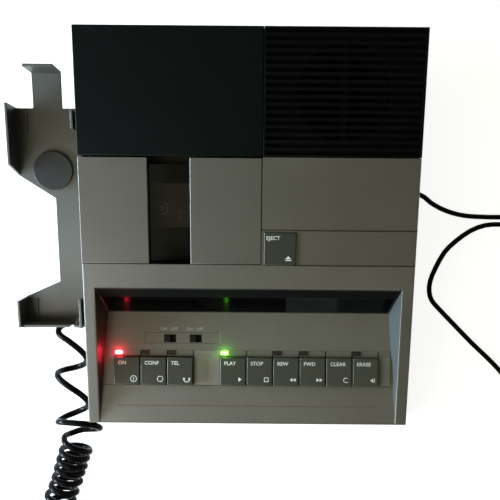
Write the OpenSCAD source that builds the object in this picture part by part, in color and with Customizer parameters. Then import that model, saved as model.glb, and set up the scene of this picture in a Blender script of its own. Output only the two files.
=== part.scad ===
// Desktop dictation machine with a wedge-shaped case, a microphone cradle on its left side,
// a curly microphone cord and a thin power lead. Millimetres, +Z up, +Y to the rear.
// The origin lies on the table, under the middle of the case.

/* [Case] */
// Width of the case
case_w = 184; // [176:1:200]
// Depth of the case, front to rear
case_d = 216; // [210:1:232]
// Height of the front edge above the table
front_h = 20; // [19:0.5:24]
// Slope of the top in degrees
top_slope = 12; // [11:0.5:14]
// Thickness of the moulded walls
wall = 2.5; // [2.2:0.1:3]
// Height of the base pan's sides
base_h = 14; // [13:0.5:15]
// Gap between two covers that meet
cover_gap = 0.15; // [0.1:0.05:0.3]
// Height of a rubber foot below the base pan
foot_h = 1.8; // [1.4:0.1:2]
// Radius of a rubber foot
foot_r = 7; // [5:0.5:9]
// Depth of the recess that holds a foot
foot_seat = 1; // [0.6:0.1:1.2]
// Distance of a foot's centre from the sides of the case
foot_inset = 18; // [14:1:24]

/* [Top layout] */
// Plan depth of the black rear hood
hood_d = 65.5; // [60:0.5:70]
// Width of the cassette door
door_w = 99; // [94:1:104]
// Plan depth of the cassette door
door_d = 57.8; // [56:0.2:62]
// Plan depth of the plain band between door and control well
band_d = 13.3; // [11:0.1:16]
// Plan depth of the strip that holds the eject key
strip_d = 19.2; // [18:0.2:22]
// Width of the parting grooves on the top
groove_w = 0.9; // [0.6:0.1:1.2]
// Depth of the parting grooves on the top
groove_depth = 0.7; // [0.4:0.1:1]

/* [Door] */
// Thickness of the door's plate
door_t = 3; // [2.6:0.1:3.2]
// Running gap around moving covers
run_gap = 0.3; // [0.2:0.05:0.4]
// Distance of the window strip from the door's left edge
window_inset = 37.2; // [34:0.2:40]
// Width of the window strip
window_w = 22.8; // [20:0.2:26]
// Depth of the window pane below the top
window_depth = 8.5; // [8:0.1:8.8]
// Thickness of the window pane
pane_t = 1; // [0.8:0.1:1.2]
// Thickness of the walls beside the window strip
door_rib = 2; // [1.6:0.1:2.4]
// Distance of the hinge axis behind the hood's front edge
hinge_back = 6; // [5.6:0.1:6.4]
// Depth of the hinge axis below the top
hinge_drop = 8; // [7.6:0.1:8.4]
// Radius of the hinge pin
hinge_pin_r = 1.5; // [1.2:0.1:1.8]
// Radius of the hinge eyes
hinge_eye_r = 3.2; // [3:0.1:3.6]

/* [Grille] */
// Thickness of the speaker grille
grille_t = 4; // [3.5:0.1:5]
// Spacing of the grille's ribs
rib_pitch = 3.9; // [3.4:0.1:4.5]
// Width of a groove between two ribs
slot_w = 2.1; // [1.6:0.1:2.4]
// Depth of a groove between two ribs
slot_depth = 1.6; // [1:0.1:2]
// Radius of the round field where the grooves are open
speaker_open_r = 25; // [22:0.5:26]
// Radius of the speaker's flange
speaker_r = 28.5; // [27:0.5:30]
// Depth of the speaker behind its flange
speaker_depth = 21; // [18:1:24]

/* [Control well] */
// Width of the rim beside the well
well_rim = 6.5; // [5:0.5:9]
// Draft of the well's side walls, sideways per unit of depth
well_draft = 0.3; // [0.2:0.05:0.4]
// Angle of the display face to the table
face_angle = 48.8; // [45:0.2:55]
// Thickness of the well's floor and walls
well_t = 2.2; // [2:0.1:2.6]
// Distance of the display window below the top of its face
display_drop = 7.9; // [6:0.1:9]
// Height of the display window along its face
display_h = 13.8; // [12:0.1:14]
// Thickness of the display window
display_t = 1.4; // [1:0.1:1.6]
// Margin of the display window to the well's side walls
display_margin = 1.2; // [0.8:0.1:2]
// Width of the liquid crystal panel
lcd_w = 30; // [24:1:36]
// Height of the liquid crystal panel
lcd_h = 8; // [6:0.5:9]
// Place of the panel to the right of the middle
lcd_x = 36; // [30:1:42]

/* [Keys] */
// Share of the case's width that the row of keys takes
row_share = 0.8315; // [0.8:0.005:0.84]
// Depth of a key
key_d = 16.2; // [14:0.1:18]
// Gap between neighbouring keys
key_gap = 0.5; // [0.4:0.05:0.8]
// Height of the keys above the well's floor
key_rise = 2.4; // [2.2:0.1:3]
// Travel of a key
key_travel = 2; // [1.5:0.1:2]
// Depth of the apron in front of the keys
apron_d = 22.7; // [20:0.1:26]
// Offset of the row of keys to the right of the middle
row_shift = -1; // [-3:0.5:1]
// Width of a lamp window
led_w = 4.6; // [3.6:0.1:5.4]
// Depth of a lamp window
led_d = 2.4; // [1.8:0.1:2.6]
// Width of a slide switch opening
switch_w = 7; // [6:0.1:8]
// Depth of a slide switch opening
switch_d = 4.6; // [4:0.1:5.4]
// Distance of the first slide switch from the row's left end
switch_inset = 32.2; // [28:0.2:34]
// Spacing of the two slide switches
switch_pitch = 14.9; // [13:0.1:16]
// Travel of a slide switch
switch_travel = 3; // [2:0.1:3.4]

/* [Eject key] */
// Width of the eject key
eject_w = 17.5; // [15:0.5:20]
// Distance of the eject key from the door's seam
eject_inset = 1.3; // [1.2:0.1:3]
// Travel of the eject key
eject_travel = 2.5; // [2:0.1:3]

/* [Cassette deck] */
// Width of the cassette
cassette_w = 50; // [48:0.5:52]
// Depth of the cassette
cassette_d = 33.5; // [32:0.5:34]
// Thickness of the cassette
cassette_t = 8.7; // [8.2:0.1:9]
// Depth of the cassette's face below the top
cassette_drop = 11; // [10.9:0.1:11.4]
// Distance of the cassette from the left side of the case
cassette_inset = 27.8; // [26:0.2:30]
// Distance of the cassette from the hood's front edge, along the slope
cassette_back = 6.85; // [6.8:0.05:7.6]
// Spacing of the two reels
reel_pitch = 19.5; // [19:0.1:20]
// Distance of the reels' axes from the cassette's front
reel_front = 10.8; // [10.6:0.1:12]
// Height of the cassette above the deck plate
deck_gap = 1.3; // [1.2:0.1:1.6]
// Thickness of the deck plate
deck_t = 1.2; // [1:0.1:1.6]
// Radius of the flywheel
flywheel_r = 15; // [13:0.5:16]
// Radius of the motor
motor_r = 11; // [9:0.5:12]
// Travel of the head carriage
head_travel = 2.5; // [2:0.1:2.8]

/* [Microphone cradle] */
// Thickness of the cradle's sheet
sheet_t = 1.5; // [1.2:0.1:1.8]
// Depth of the cradle's plate below the top of the case, across the slope
cradle_drop = 21.5; // [20:0.1:22.5]
// Height of the cradle's upturned walls
cradle_wall_h = 15; // [12:0.5:16]
// Reach of the cradle from the side of the case
cradle_reach = 39.5; // [37:0.5:42]
// Radius of the plastic disc on the cradle
disc_r = 11; // [10:0.2:12]

/* [Cords] */
// Diameter of the microphone cord's wire
curl_wire_d = 3.2; // [2.8:0.1:3.4]
// Outer diameter of the microphone cord's curls
curl_d = 20; // [18:0.5:20]
// Spacing of the closed curls
curl_pitch = 5.4; // [5:0.1:6]
// Diameter of the power lead
lead_d = 3; // [2.6:0.1:3.2]
// Loops in the put-away coil of the power lead
coil_loops = 14.375; // [10.375:1:14.375]
// Spacing of the loops and layers in the coil
coil_pitch = 3.5; // [3.5:0.1:4]

/* [Hidden] */
$fn = 48;

// Colours
GREY = "#6a6b66";
BLACK = "#14181a";
KEY_GREY = "#3c3d39";
SHEET_GREY = "#4b4b47";
STEEL = "#a5a8aa";
BOARD = "#2f5d3a";
RUBBER = "#17181a";
WHITE = "#d9d8d0";

// Overshoot of cuts, and a length past everything
over = 1;
far = 500;

// Case
half_w = case_w / 2;
half_d = case_d / 2;
base_floor = foot_h + wall;
split_z = foot_h + base_h;
wall_v = wall / cos(top_slope);
hood_y = half_d - hood_d;
seam_x = -half_w + door_w;
door_y = hood_y - door_d;
well_y = door_y - band_d;
strip_y = door_y + strip_d;
half_open = half_w - well_rim;
function top_z(y) = front_h + (y + half_d) * tan(top_slope);
function along(y) = y / cos(top_slope);
hood_v = along(hood_y);
hood_foot_y = hood_y + (top_z(hood_y) - split_z) * tan(top_slope);

// Case screws
boss_r = 3.5;
boss_gap = 0.2;
screw_r = 1.25;
screw_clear = 0.1;
screw_l = 9;
head_r = 2.8;
head_h = 1.5;
boss_x = half_w - wall - boss_r - boss_gap;
boss_y = half_d - wall - boss_r - 4;
boss_top = 30;
SCREWS = [for (sx = [-1, 1], sy = [-1, 1]) [sx * boss_x, sy * boss_y]];

// Boards
jack_len = 12;
board_t = 1.6;
board_lift = 2;
board_z = base_floor + board_lift;
board_top = board_z + board_t;
post_r = 3;
dome_h = 1.6;
dome_r = 3.5;
key_board_front = 5;
key_board_rear = 22;
key_board_side = 5;
main_board_x = seam_x + 7;
main_board_y = -20;
main_board_w = half_w - wall - jack_len - 1.5 - main_board_x;
main_board_d = 100;
chip_h = 4;

// Keys
key_slots = 10;
key_pitch = case_w * row_share / key_slots;
key_w = key_pitch - key_gap;
row_x = row_shift - key_slots * key_pitch / 2;
key_front_y = -half_d + apron_d;
key_rear_y = key_front_y + key_d;
key_lip = 0.8;
key_lip_t = 1.6;
key_fit = 0.25;
floor_z = front_h;
floor_under = floor_z - well_t;
lip_gap = 0.1;
key_stem_r = 2.5;
key_stem_end = board_top + dome_h + key_travel + run_gap;
led_y = key_rear_y + 2.3;
led_inset = 0.4;
led_proud = 0.3;
led_fit = 0.1;
LED_SLOTS = [1, 2, 6, 7, 9];
BUTTON_SLOTS = [0, 1, 2, 4, 5, 6, 7, 8, 9];
switch_y = key_rear_y + 10.5;
switch_x = [row_x + switch_inset, row_x + switch_inset + switch_pitch];
knob_w = switch_w - switch_travel - 2 * key_fit;
knob_d = switch_d - 2 * key_fit;
knob_proud = 0.5;
switch_can = [12, 6];
switch_top = floor_under - 1.6;
function slot_x(slot) = row_x + slot * key_pitch;

// Display face: distance along it is counted down from the top edge
face_len = (top_z(well_y) - floor_z) / sin(face_angle);
function face_half(down) =
    half_open - well_draft * down * (sin(face_angle) - cos(face_angle) * tan(top_slope));
display_fit = 0.1;
lcd_frame = 3;
lcd_depth = 5;

// Door, in a frame whose origin is the top left end of the hood's front edge
door_len = along(door_d) - run_gap;
door_bevel = 1.45;
pane_z = -window_depth - pane_t;
bar_t = 1.2;
bar_w = 3;
strip_a = window_inset;
strip_b = window_inset + window_w;
arm_low = -hinge_drop - 4.4;
arm_high = -hinge_drop - 1.6;
arm_front = -hinge_back + 0.1;
riser_b = -5;
arm_slack = 0.6;
hinge_rib = 3;
hinge_rib_gap = 0.5;
bay_wall_h = 16;
pin_fit = 0.03;
eye_fit = 0.06;
ARMS = [strip_a - door_rib, strip_b];
pin_start = ARMS[0] - hinge_rib_gap - hinge_rib;
pin_l = ARMS[1] + door_rib + hinge_rib_gap + hinge_rib - pin_start;
bay_t = 1;

// Eject key
eject_d = strip_d - 0.9;
eject_rise = 0.5;
eject_x = seam_x + eject_inset;
eject_stem_r = 3;
eject_stem_l = 12;

// Deck, in the door's frame
cassette_b = -cassette_back - cassette_d;
reel_b = cassette_b + reel_front;
reel_a = cassette_inset + cassette_w / 2;
supply_a = reel_a - reel_pitch / 2;
take_up_a = reel_a + reel_pitch / 2;
cassette_low = -cassette_drop - cassette_t;
deck_top = cassette_low - deck_gap;
deck_under = deck_top - deck_t;
deck_a = 6;
deck_w = 90;
deck_front = -11;
deck_rear = 28;
deck_d = deck_rear - cassette_b - deck_front;
pad_r = 2.5;
pad_inset = 5;
shell_t = 1.2;
hub_r = 4;
hub_bore = 2.9;
hub_fit = 0.25;
supply_pack_r = 9;
take_up_pack_r = 7;
spindle_r = 1.5;
spindle_core_r = 1.9;
spindle_fin = 2.7;
spindle_disc_r = 6;
bush_r = 3.5;
bush_h = 3;
shaft_fit = 0.05;
capstan_r = 0.9;
capstan_a = reel_a + 15.2;
capstan_b = cassette_b + 2.4;
flywheel_t = 5;
flywheel_top = deck_under - bush_h - 1.4;
belt_t = 1.2;
belt_h = 1.4;
belt_gap = 0.3;
rim_depth = 1;
pulley_r = 3.2;
pulley_shaft_r = 1;
motor_a = deck_a + motor_r + 5;
motor_b = wall + motor_r + 2;
motor_h = 16.5;
motor_bore = 5;
motor_hole_r = 4.5;
carriage_a = 46;
carriage_w = 30;
carriage_d = 8.8;
carriage_t = 1.4;
carriage_b = cassette_b - 3;
slide_gap = 0.2;
head_w = 8;
head_d = 7.6;
head_a = reel_a - 4;
head_b = cassette_b - head_d - 0.85;
roller_r = 3.6;
roller_post_r = 0.8;
roller_back = 1.45;
head_low = cassette_low + shell_t + run_gap;
head_top = -cassette_drop - shell_t - run_gap;

// Speaker, on the slope under the grille
speaker_x = (seam_x + half_w) / 2;
speaker_v = hood_v + along(hood_d) / 2;
cone_r = 22;
magnet_r = 14;
voice_coil_r = 8;
magnet_h = 9;
grille_edge = 1.2;
grille_bar = 3;

// Wall jacks and plugs
jack_body = 10;
jack_bush_r = 4;
jack_proud = 1;
jack_fit = 0.1;
jack_z = base_floor + jack_body / 2;
small_bore = 1.8;
large_bore = 3.2;
bore_l = 12;
mic_jack_y = -19;
power_jack_y = 52;
headset_x = -62;
foot_jack_x = -40;
plug_t = 8;
plug_h = 6;
plug_l = 13;
plug_offset = 4;
plug_shaft_l = 9;
relief_r = 2.6;
relief_l = 5;

// Cradle, in the frame of the sloped top
cradle_top = -cradle_drop;
cradle_low = -cradle_drop - sheet_t;
cradle_x = -half_w - cradle_reach;
strip_left = -half_w - 18.6;
hook_left = -half_w - 28.7;
hook_right = -half_w - 12.5;
hook_end = 88;
cradle_rear = 67.9;
wing_front = 30.9;
neck_rear = 17.5;
neck_front = -31.6;
foot_rear = -41;
foot_front = -58.3;
lean = sin(top_slope);
wall_lean = lean * cradle_wall_h;
tab_x = -half_w - 4.5;
tab_front = cradle_rear - 13.5;
tab_rear = cradle_rear - 3.5;
lip_h = 12;
bead_x = -half_w - 33;
bead_w = 1;
bead_h = 1;
cord_notch = 3.2;
cord_notch_x = -half_w - 11.7;
flange_h = 10;
flange_front = -4;
flange_rear = 66;
CRADLE_SCREW_V = [12, 60];
cradle_screw_w = cradle_low - 5;
cradle_screw_r = 1.5;
cradle_head_r = 3;
cradle_head_h = 1.8;
disc_x = -half_w - 19;
disc_v = 33.4;
disc_t = 1.6;

// Microphone cord: a tail by hand, then curls along an axis that runs forward and turns right
curl_r = (curl_d - curl_wire_d) / 2;
curl_z = curl_d / 2 + 0.1;
curl_first_y = -57;
curl_spacing = [26, 26, 10, 6.2];
curl_turn_y = -155;
curl_turn_r = 42;
curl_count = 26;
curl_rings = 8;
curl_sides = 6;
// Sideways drift of the curls' axis as the cord runs forward
CURL_DRIFT = [
    [50, -104], [81, -104.6], [106, -103], [113, -99], [120, -101.5], [127, -103],
    [137, -105.5], [146, -108.5], [155, -111]
];
MIC_TAIL = [
    [-half_w - jack_proud - plug_t / 2, -33, jack_z], [-half_w - jack_proud - plug_t / 2, -36.2, jack_z],
    [-96.8, -40, 6.8], [-97.2, -44, 3.4], [-99.6, -47.8, 1.95]
];

// Hand microphone, lying on the table past the cord's end
mic_x = -25;
mic_y = -197;
mic_l = 136;
mic_head_r = 23;
mic_tail_r = 17;
mic_split = 12;
mic_h = 26;
mic_wall = 2;
mic_cord_z = 12;
mic_slot_l = 24;
mic_slide_l = 10;
mic_slide_w = 9;
mic_slide_travel = 12;
mic_slide_proud = 2.5;
mic_slide_in = 3;
mic_slide_x = mic_x + 58;
mic_relief_l = 8;
MIC_END = [
    [mic_x - mic_relief_l - 9.6, mic_y - 4.6, mic_cord_z + 3],
    [mic_x - mic_relief_l - 6.4, mic_y - 1.2, mic_cord_z + 1.4],
    [mic_x - mic_relief_l - curl_wire_d, mic_y, mic_cord_z],
    [mic_x - mic_relief_l, mic_y, mic_cord_z]
];

// Power lead: along the table by hand, a coil by formula, and a short end to the adapter
lead_z = lead_d / 2 + 0.1;
POWER_ROUTE = [
    [half_w + jack_proud + plug_t / 2, 38, jack_z], [half_w + jack_proud + plug_t / 2, 34.8, jack_z],
    [97.4, 31.6, 6.8], [98.8, 29.2, 3.6],
    [102, 27.6, 1.8], [106.4, 25.2, lead_z], [110, 21.6, lead_z], [116, 18, lead_z],
    [123.4, 15, lead_z], [131, 13.4, lead_z], [140, 13, lead_z], [152, 13, lead_z],
    [160, 14.2, lead_z], [168, 17.8, lead_z], [174, 22.6, lead_z], [180, 25, lead_z],
    [186, 22.6, lead_z], [188, 16.5, lead_z], [184, 10, lead_z], [176, 6.4, lead_z],
    [166, 6.8, lead_z], [158, 8.4, lead_z], [152, 8.8, lead_z], [143.4, 7.6, lead_z],
    [134.3, 3.9, lead_z], [125.2, -2.7, lead_z], [119, -9.2, lead_z], [113, -18, lead_z],
    [109.6, -25.4, lead_z], [108.8, -31.3, lead_z], [110.2, -36.8, lead_z], [114, -41.4, lead_z],
    [122, -50, lead_z], [134, -63, lead_z], [143.4, -72, lead_z], [152, -80.4, lead_z],
    [160, -88.3, 1.9]
];
coil_x = 182.5;
coil_y = -77.5;
coil_z = 2.4;
coil_out_r = 22.6;
coil_start = 225;
coil_layers = 4;
coil_rings = 24;
coil_sides = 6;
lead_sides = 8;
ADAPTER_ROUTE = [
    [205.3, -70.4, 12.5], [205, -66, 11.5], [203.6, -61.8, 10.2], [201.2, -58.6, 9], [198.4, -56.4, 8.2],
    [196.6, -54.8, 8]
];
tie_t = 0.5;
tie_w = 6;
tie_gap = 0.35;
tie_angle = 115;
adapter_x = 166;
adapter_y = -38;
adapter_size = [46, 38, 32];
adapter_edge = 3;
adapter_relief_x = 196;
adapter_relief_l = 12;
adapter_relief_z = 8;
blade_size = [1.6, 6.3, 16];
blade_pitch = 12.7;

// Frames and extrusions
module on_top() {
    translate([0, 0, top_z(0)]) rotate([top_slope, 0, 0]) children();
}
module on_deck() {
    on_top() translate([-half_w, hood_v, 0]) children();
}
module on_face() {
    translate([0, well_y, top_z(well_y)]) rotate([face_angle, 0, 0]) children();
}
module along_x(start, length) {
    translate([start, 0, 0]) rotate([90, 0, 90]) linear_extrude(length) children();
}
module block(low, high) {
    translate(low) cube(high - low);
}
module post(at, r, low, high) {
    translate([at[0], at[1], low]) cylinder(r = r, h = high - low);
}

// Sweep of a round tube along points, with rings that turn as little as they can
function unit(v) = v / norm(v);
function tangent(p, i) = unit(p[min(i + 1, len(p) - 1)] - p[max(i - 1, 0)]);
function across(v, t) = unit(v - (v * t) * t);
function side_of(t) = across(abs(t[2]) < 0.9 ? [0, 0, 1] : [1, 0, 0], t);
function normals(p) = [
    for (i = 0, n = side_of(tangent(p, 0)); i < len(p);
        i = i + 1, n = i < len(p) ? across(n, tangent(p, i)) : n) n
];
function ring(c, t, n, r, sides) = [
    for (k = [0 : sides - 1]) c + r * (cos(360 * k / sides) * n + sin(360 * k / sides) * cross(t, n))
];
module tube(points, d, sides) {
    n = normals(points);
    last = len(points) - 1;
    rings = [for (i = [0 : last]) each ring(points[i], tangent(points, i), n[i], d / 2, sides)];
    walls = [
        for (i = [0 : last - 1], k = [0 : sides - 1])
            let (a = i * sides + k, b = i * sides + (k + 1) % sides)
                each [[a, a + sides, b], [b, a + sides, b + sides]]
    ];
    caps = [
        for (k = [1 : sides - 2])
            each [[0, k, k + 1], [last * sides, last * sides + k + 1, last * sides + k]]
    ];
    polyhedron(rings, concat(walls, caps));
}

// Least clear distance of a tube to itself, past its nearest rings
function to_segment(p, a, b) =
    let (d = b - a, s = max(0, min(1, (p - a) * d / (d * d)))) norm(p - a - s * d);
function least_gap(p, d, skip) = min([
    for (i = [0 : len(p) - skip - 2])
        min([for (j = [i + skip : len(p) - 2]) to_segment(p[i], p[j], p[j + 1])])
]) - d;
function run_length(p) = len(p) < 2 ? 0 : [for (i = [1 : len(p) - 1]) norm(p[i] - p[i - 1])] * [
    for (i = [1 : len(p) - 1]) 1
];

// Points of the curls
function curl_run(t) =
    let (k = max(0, min(len(curl_spacing), floor(t))))
        (t < 0 ? t * curl_spacing[0]
            : k >= len(curl_spacing) ? sum(curl_spacing, k) + (t - k) * curl_pitch
            : sum(curl_spacing, k) + (t - k) * curl_spacing[k]);
function sum(list, count) = count == 0 ? 0 : list[count - 1] + sum(list, count - 1);
curl_straight = curl_first_y - curl_turn_y;
curl_bend = curl_turn_r * PI / 2;
curl_turn_x = lookup(-curl_turn_y, CURL_DRIFT);
function curl_axis(s) =
    s < curl_straight ? [lookup(s - curl_first_y, CURL_DRIFT), curl_first_y - s, 0]
    : s < curl_straight + curl_bend
    ? let (a = 90 * (s - curl_straight) / curl_bend)
        [curl_turn_x + curl_turn_r * (1 - cos(a)), curl_turn_y - curl_turn_r * sin(a), 90]
        - [0, 0, 90 - a]
    : [curl_turn_x + curl_turn_r + s - curl_straight - curl_bend, curl_turn_y - curl_turn_r, 90];
CURLS = [
    for (i = [-curl_rings / 4 : curl_count * curl_rings])
        let (t = i / curl_rings, c = curl_axis(curl_run(t)), a = c[2], phase = 360 * t)
            [
                c[0] - curl_r * cos(phase) * cos(a), c[1] - curl_r * cos(phase) * sin(a),
                curl_z + curl_r * sin(phase)
            ]
];
MIC_CORD = concat(MIC_TAIL, CURLS, MIC_END);

// Points of the coil: in and out at a steady rate, a layer up in each half turn of reversal
coil_layer_loops = coil_loops / coil_layers;
function coil_r(t) =
    let (f = t / coil_layer_loops, k = floor(f), s = f - k)
        coil_out_r - coil_pitch * coil_layer_loops * (k % 2 == 0 ? s : 1 - s);
function ease(s) = let (c = max(0, min(1, s))) c * c * (3 - 2 * c);
function coil_rise(t) =
    coil_pitch * sum([for (k = [1 : coil_layers - 1]) ease((t - k * coil_layer_loops) * 2 + 0.5)],
        coil_layers - 1);
COIL = [
    for (i = [0 : floor(coil_loops * coil_rings)])
        let (t = i / coil_rings, a = coil_start + 360 * t)
            [coil_x + coil_r(t) * cos(a), coil_y + coil_r(t) * sin(a), coil_z + coil_rise(t)]
];
coil_last = len(COIL) - 1;
COIL_IN = lead_d * unit(COIL[1] - COIL[0]);
COIL_OUT = lead_d * unit(COIL[coil_last] - COIL[coil_last - 1]);
ADAPTER_END = [adapter_relief_x, adapter_y - adapter_relief_l, adapter_relief_z];
LEAD_IN = concat(POWER_ROUTE, [COIL[0] - COIL_IN, COIL[0]]);
LEAD_OUT = concat(
    [COIL[coil_last], COIL[coil_last] + COIL_OUT], ADAPTER_ROUTE,
    [ADAPTER_END - [0, lead_d + 0.2, 0], ADAPTER_END]);

// Outlines shared by several pieces
function case_profile() = [
    [-half_d, split_z],
    [hood_foot_y - cover_gap, split_z],
    [hood_y - cover_gap, top_z(hood_y - cover_gap)],
    [-half_d, front_h]
];
function hood_profile() = [
    [hood_foot_y + cover_gap, split_z],
    [half_d, split_z],
    [half_d, top_z(half_d)],
    [hood_y + cover_gap, top_z(hood_y + cover_gap)]
];
function inside_profile(front, rear) = [
    [front, split_z - over],
    [rear, split_z - over],
    [rear, top_z(rear) - wall_v],
    [front, top_z(front) - wall_v]
];
// Control well, grown outwards by its wall when the wall is given
module well_body(grow) {
    rise = 6;
    face_y = well_y + grow / sin(face_angle);
    low = floor_z - grow;
    foot_y = face_y - (top_z(well_y) - low) / tan(face_angle);
    top_y = face_y + rise * cos(face_angle);
    front = -half_d - over;
    function half(y, z) = half_open + grow - well_draft * (top_z(y) - z);
    ends = [
        [front, low], [foot_y, low], [top_y, top_z(well_y) + rise * sin(face_angle)],
        [front, top_z(front) + rise]
    ];
    points = [for (s = [-1, 1], e = ends) [s * half(e[0], e[1]), e[0], e[1]]];
    polyhedron(points, [
        [0, 1, 2, 3], [7, 6, 5, 4], [0, 4, 5, 1], [1, 5, 6, 2], [2, 6, 7, 3], [3, 7, 4, 0]
    ]);
}
module display_outline(grow) {
    low = display_drop + display_h;
    top_half = face_half(display_drop) - display_margin + grow;
    low_half = face_half(low) - display_margin + grow;
    polygon([
        [-top_half, -display_drop + grow], [-low_half, -low - grow],
        [low_half, -low - grow], [top_half, -display_drop + grow]
    ]);
}
module jack(bore) {
    difference() {
        union() {
            translate([0, 0, -wall - over]) cylinder(r = jack_bush_r, h = wall + over + jack_proud);
            block([-jack_body / 2, -jack_body / 2, -wall - jack_len], [jack_body / 2, jack_body / 2, -wall]);
        }
        translate([0, 0, jack_proud - bore_l]) cylinder(r = bore, h = bore_l + over);
    }
}
module on_left(y) {
    translate([-half_w, y, jack_z]) rotate([0, -90, 0]) children();
}
module on_right(y) {
    translate([half_w, y, jack_z]) rotate([0, 90, 0]) children();
}
module on_rear(x) {
    translate([x, half_d, jack_z]) rotate([-90, 0, 0]) children();
}
module jack_hole() {
    translate([0, 0, -wall - over]) cylinder(r = jack_bush_r + jack_fit, h = wall + 2 * over);
}
module cradle_screw_holes() {
    on_top() for (v = CRADLE_SCREW_V)
        translate([-half_w - over, v, cradle_screw_w]) rotate([0, 90, 0])
            cylinder(r = cradle_screw_r + screw_clear, h = wall + 2 * over);
}

// Casing
module board_posts() {
    for (sx = [-1, 1], y = [key_front_y, key_rear_y + key_board_rear - 2 * key_board_side])
        post([row_shift + sx * key_slots * key_pitch / 2, y], post_r, base_floor - over, board_z);
    for (x = [0, main_board_w], y = [0, main_board_d])
        post([main_board_x + x, main_board_y + y] + [x == 0 ? post_r : -post_r, y == 0 ? post_r : -post_r],
            post_r, base_floor - over, board_z);
}
module base_pan() {
    color(GREY) difference() {
        union() {
            difference() {
                block([-half_w, -half_d, foot_h], [half_w, half_d, split_z]);
                block([-half_w + wall, -half_d + wall, base_floor], [half_w - wall, half_d - wall, far]);
            }
            board_posts();
        }
        foot_places() cylinder(r = foot_r + jack_fit, h = foot_h + foot_seat);
        for (at = SCREWS) {
            post(at, head_r + screw_clear, 0, foot_h + head_h);
            post(at, screw_r + screw_clear, 0, base_floor + over);
        }
        on_left(mic_jack_y) jack_hole();
        on_right(power_jack_y) jack_hole();
        on_rear(headset_x) jack_hole();
        on_rear(foot_jack_x) jack_hole();
    }
}
module foot_places() {
    for (sx = [-1, 1], sy = [-1, 1])
        translate([sx * (half_w - foot_inset), sy * (half_d - foot_inset), 0]) children();
}
module screw_boss(at, top) {
    difference() {
        post(at, boss_r, base_floor, top);
        post(at, screw_r + screw_clear, base_floor - over, base_floor + screw_l);
    }
}
module key_openings() {
    for (span = [[0, 3], [4, key_slots]])
        block(
            [slot_x(span[0]), key_front_y - key_fit, floor_under - over],
            [slot_x(span[1]), key_rear_y + key_fit, floor_z + over]);
    for (slot = concat(LED_SLOTS, [0, 4]))
        translate([slot_x(slot) + led_inset - led_fit, led_y - led_d / 2 - led_fit, floor_under - over])
            cube([led_w + 2 * led_fit, led_d + 2 * led_fit, well_t + 2 * over]);
    for (x = switch_x)
        translate([x - switch_w / 2, switch_y - switch_d / 2, floor_under - over])
            cube([switch_w, switch_d, well_t + 2 * over]);
}
module top_case() {
    color(GREY) difference() {
        union() {
            difference() {
                along_x(-half_w, case_w) polygon(case_profile());
                along_x(-half_w + wall, case_w - 2 * wall) polygon(inside_profile(-half_d + wall, half_d));
            }
            intersection() {
                along_x(-half_w, case_w) polygon(case_profile());
                well_body(well_t);
            }
            for (at = SCREWS)
                if (at[1] < 0) screw_boss(at, floor_under + over);
            on_top() {
                block(
                    [-half_w + wall / 2, along(door_y) - bay_t, -bay_wall_h],
                    [seam_x + bay_t, along(door_y), -wall / 2]);
                block(
                    [seam_x, along(door_y) - bay_t, -bay_wall_h],
                    [seam_x + bay_t, hood_v - cover_gap, -wall / 2]);
            }
        }
        well_body(0);
        key_openings();
        on_top() {
            block([-half_w - over, along(door_y), -door_t - run_gap], [seam_x, hood_v + over, far]);
            block(
                [eject_x - key_fit, along(door_y) - key_fit, -wall - over],
                [eject_x + eject_w + key_fit, along(door_y) + eject_d + key_fit, far]);
            for (groove = [[eject_x + eject_w + key_fit, door_y], [seam_x, strip_y]])
                block(
                    [groove[0] - over, along(groove[1]) - groove_w / 2, -groove_depth],
                    [half_w + over, along(groove[1]) + groove_w / 2, far]);
        }
        on_face() {
            translate([0, 0, -display_t]) linear_extrude(far) display_outline(display_fit);
            translate([lcd_x - lcd_w / 2, -display_drop - (display_h + lcd_h) / 2, -well_t - over])
                cube([lcd_w, lcd_h, well_t + over]);
        }
        cradle_screw_holes();
    }
}
module rear_hood() {
    color(BLACK) difference() {
        union() {
            difference() {
                along_x(-half_w, case_w) polygon(hood_profile());
                along_x(-half_w + wall, case_w - 2 * wall) polygon(inside_profile(0, half_d - wall));
            }
            on_deck() {
                block([wall - over / 2, cover_gap, -bay_wall_h], [door_w, cover_gap + wall, -wall / 2]);
                for (a = [ARMS[0] - hinge_rib_gap - hinge_rib, ARMS[1] + door_rib + hinge_rib_gap])
                    block(
                        [a, cover_gap + wall / 2, -hinge_drop - hinge_eye_r],
                        [a + hinge_rib, hinge_back + hinge_eye_r, -wall / 2]);
                block(
                    [door_w - wall, cover_gap, -grille_t - wall],
                    [door_w + wall, along(hood_d - wall), -wall / 2]);
            }
            for (at = SCREWS)
                if (at[1] > 0) {
                    screw_boss(at, boss_top);
                    block(
                        [min(at[0], sign(at[0]) * (half_w - wall / 2)), at[1] - over, split_z],
                        [max(at[0], sign(at[0]) * (half_w - wall / 2)), at[1] + over, boss_top]);
                }
        }
        on_deck() {
            for (a = ARMS)
                block(
                    [a - arm_slack, -over, arm_low - arm_slack],
                    [a + door_rib + arm_slack, wall + over, -wall]);
            translate([pin_start, hinge_back, -hinge_drop]) rotate([0, 90, 0])
                cylinder(r = hinge_pin_r + pin_fit, h = pin_l);
        }
        on_top() block([seam_x, 0, -grille_t], [half_w + over, far, far]);
        for (at = SCREWS)
            post(at, screw_r + screw_clear, 0, base_floor + screw_l);
        cradle_screw_holes();
    }
}
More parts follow.
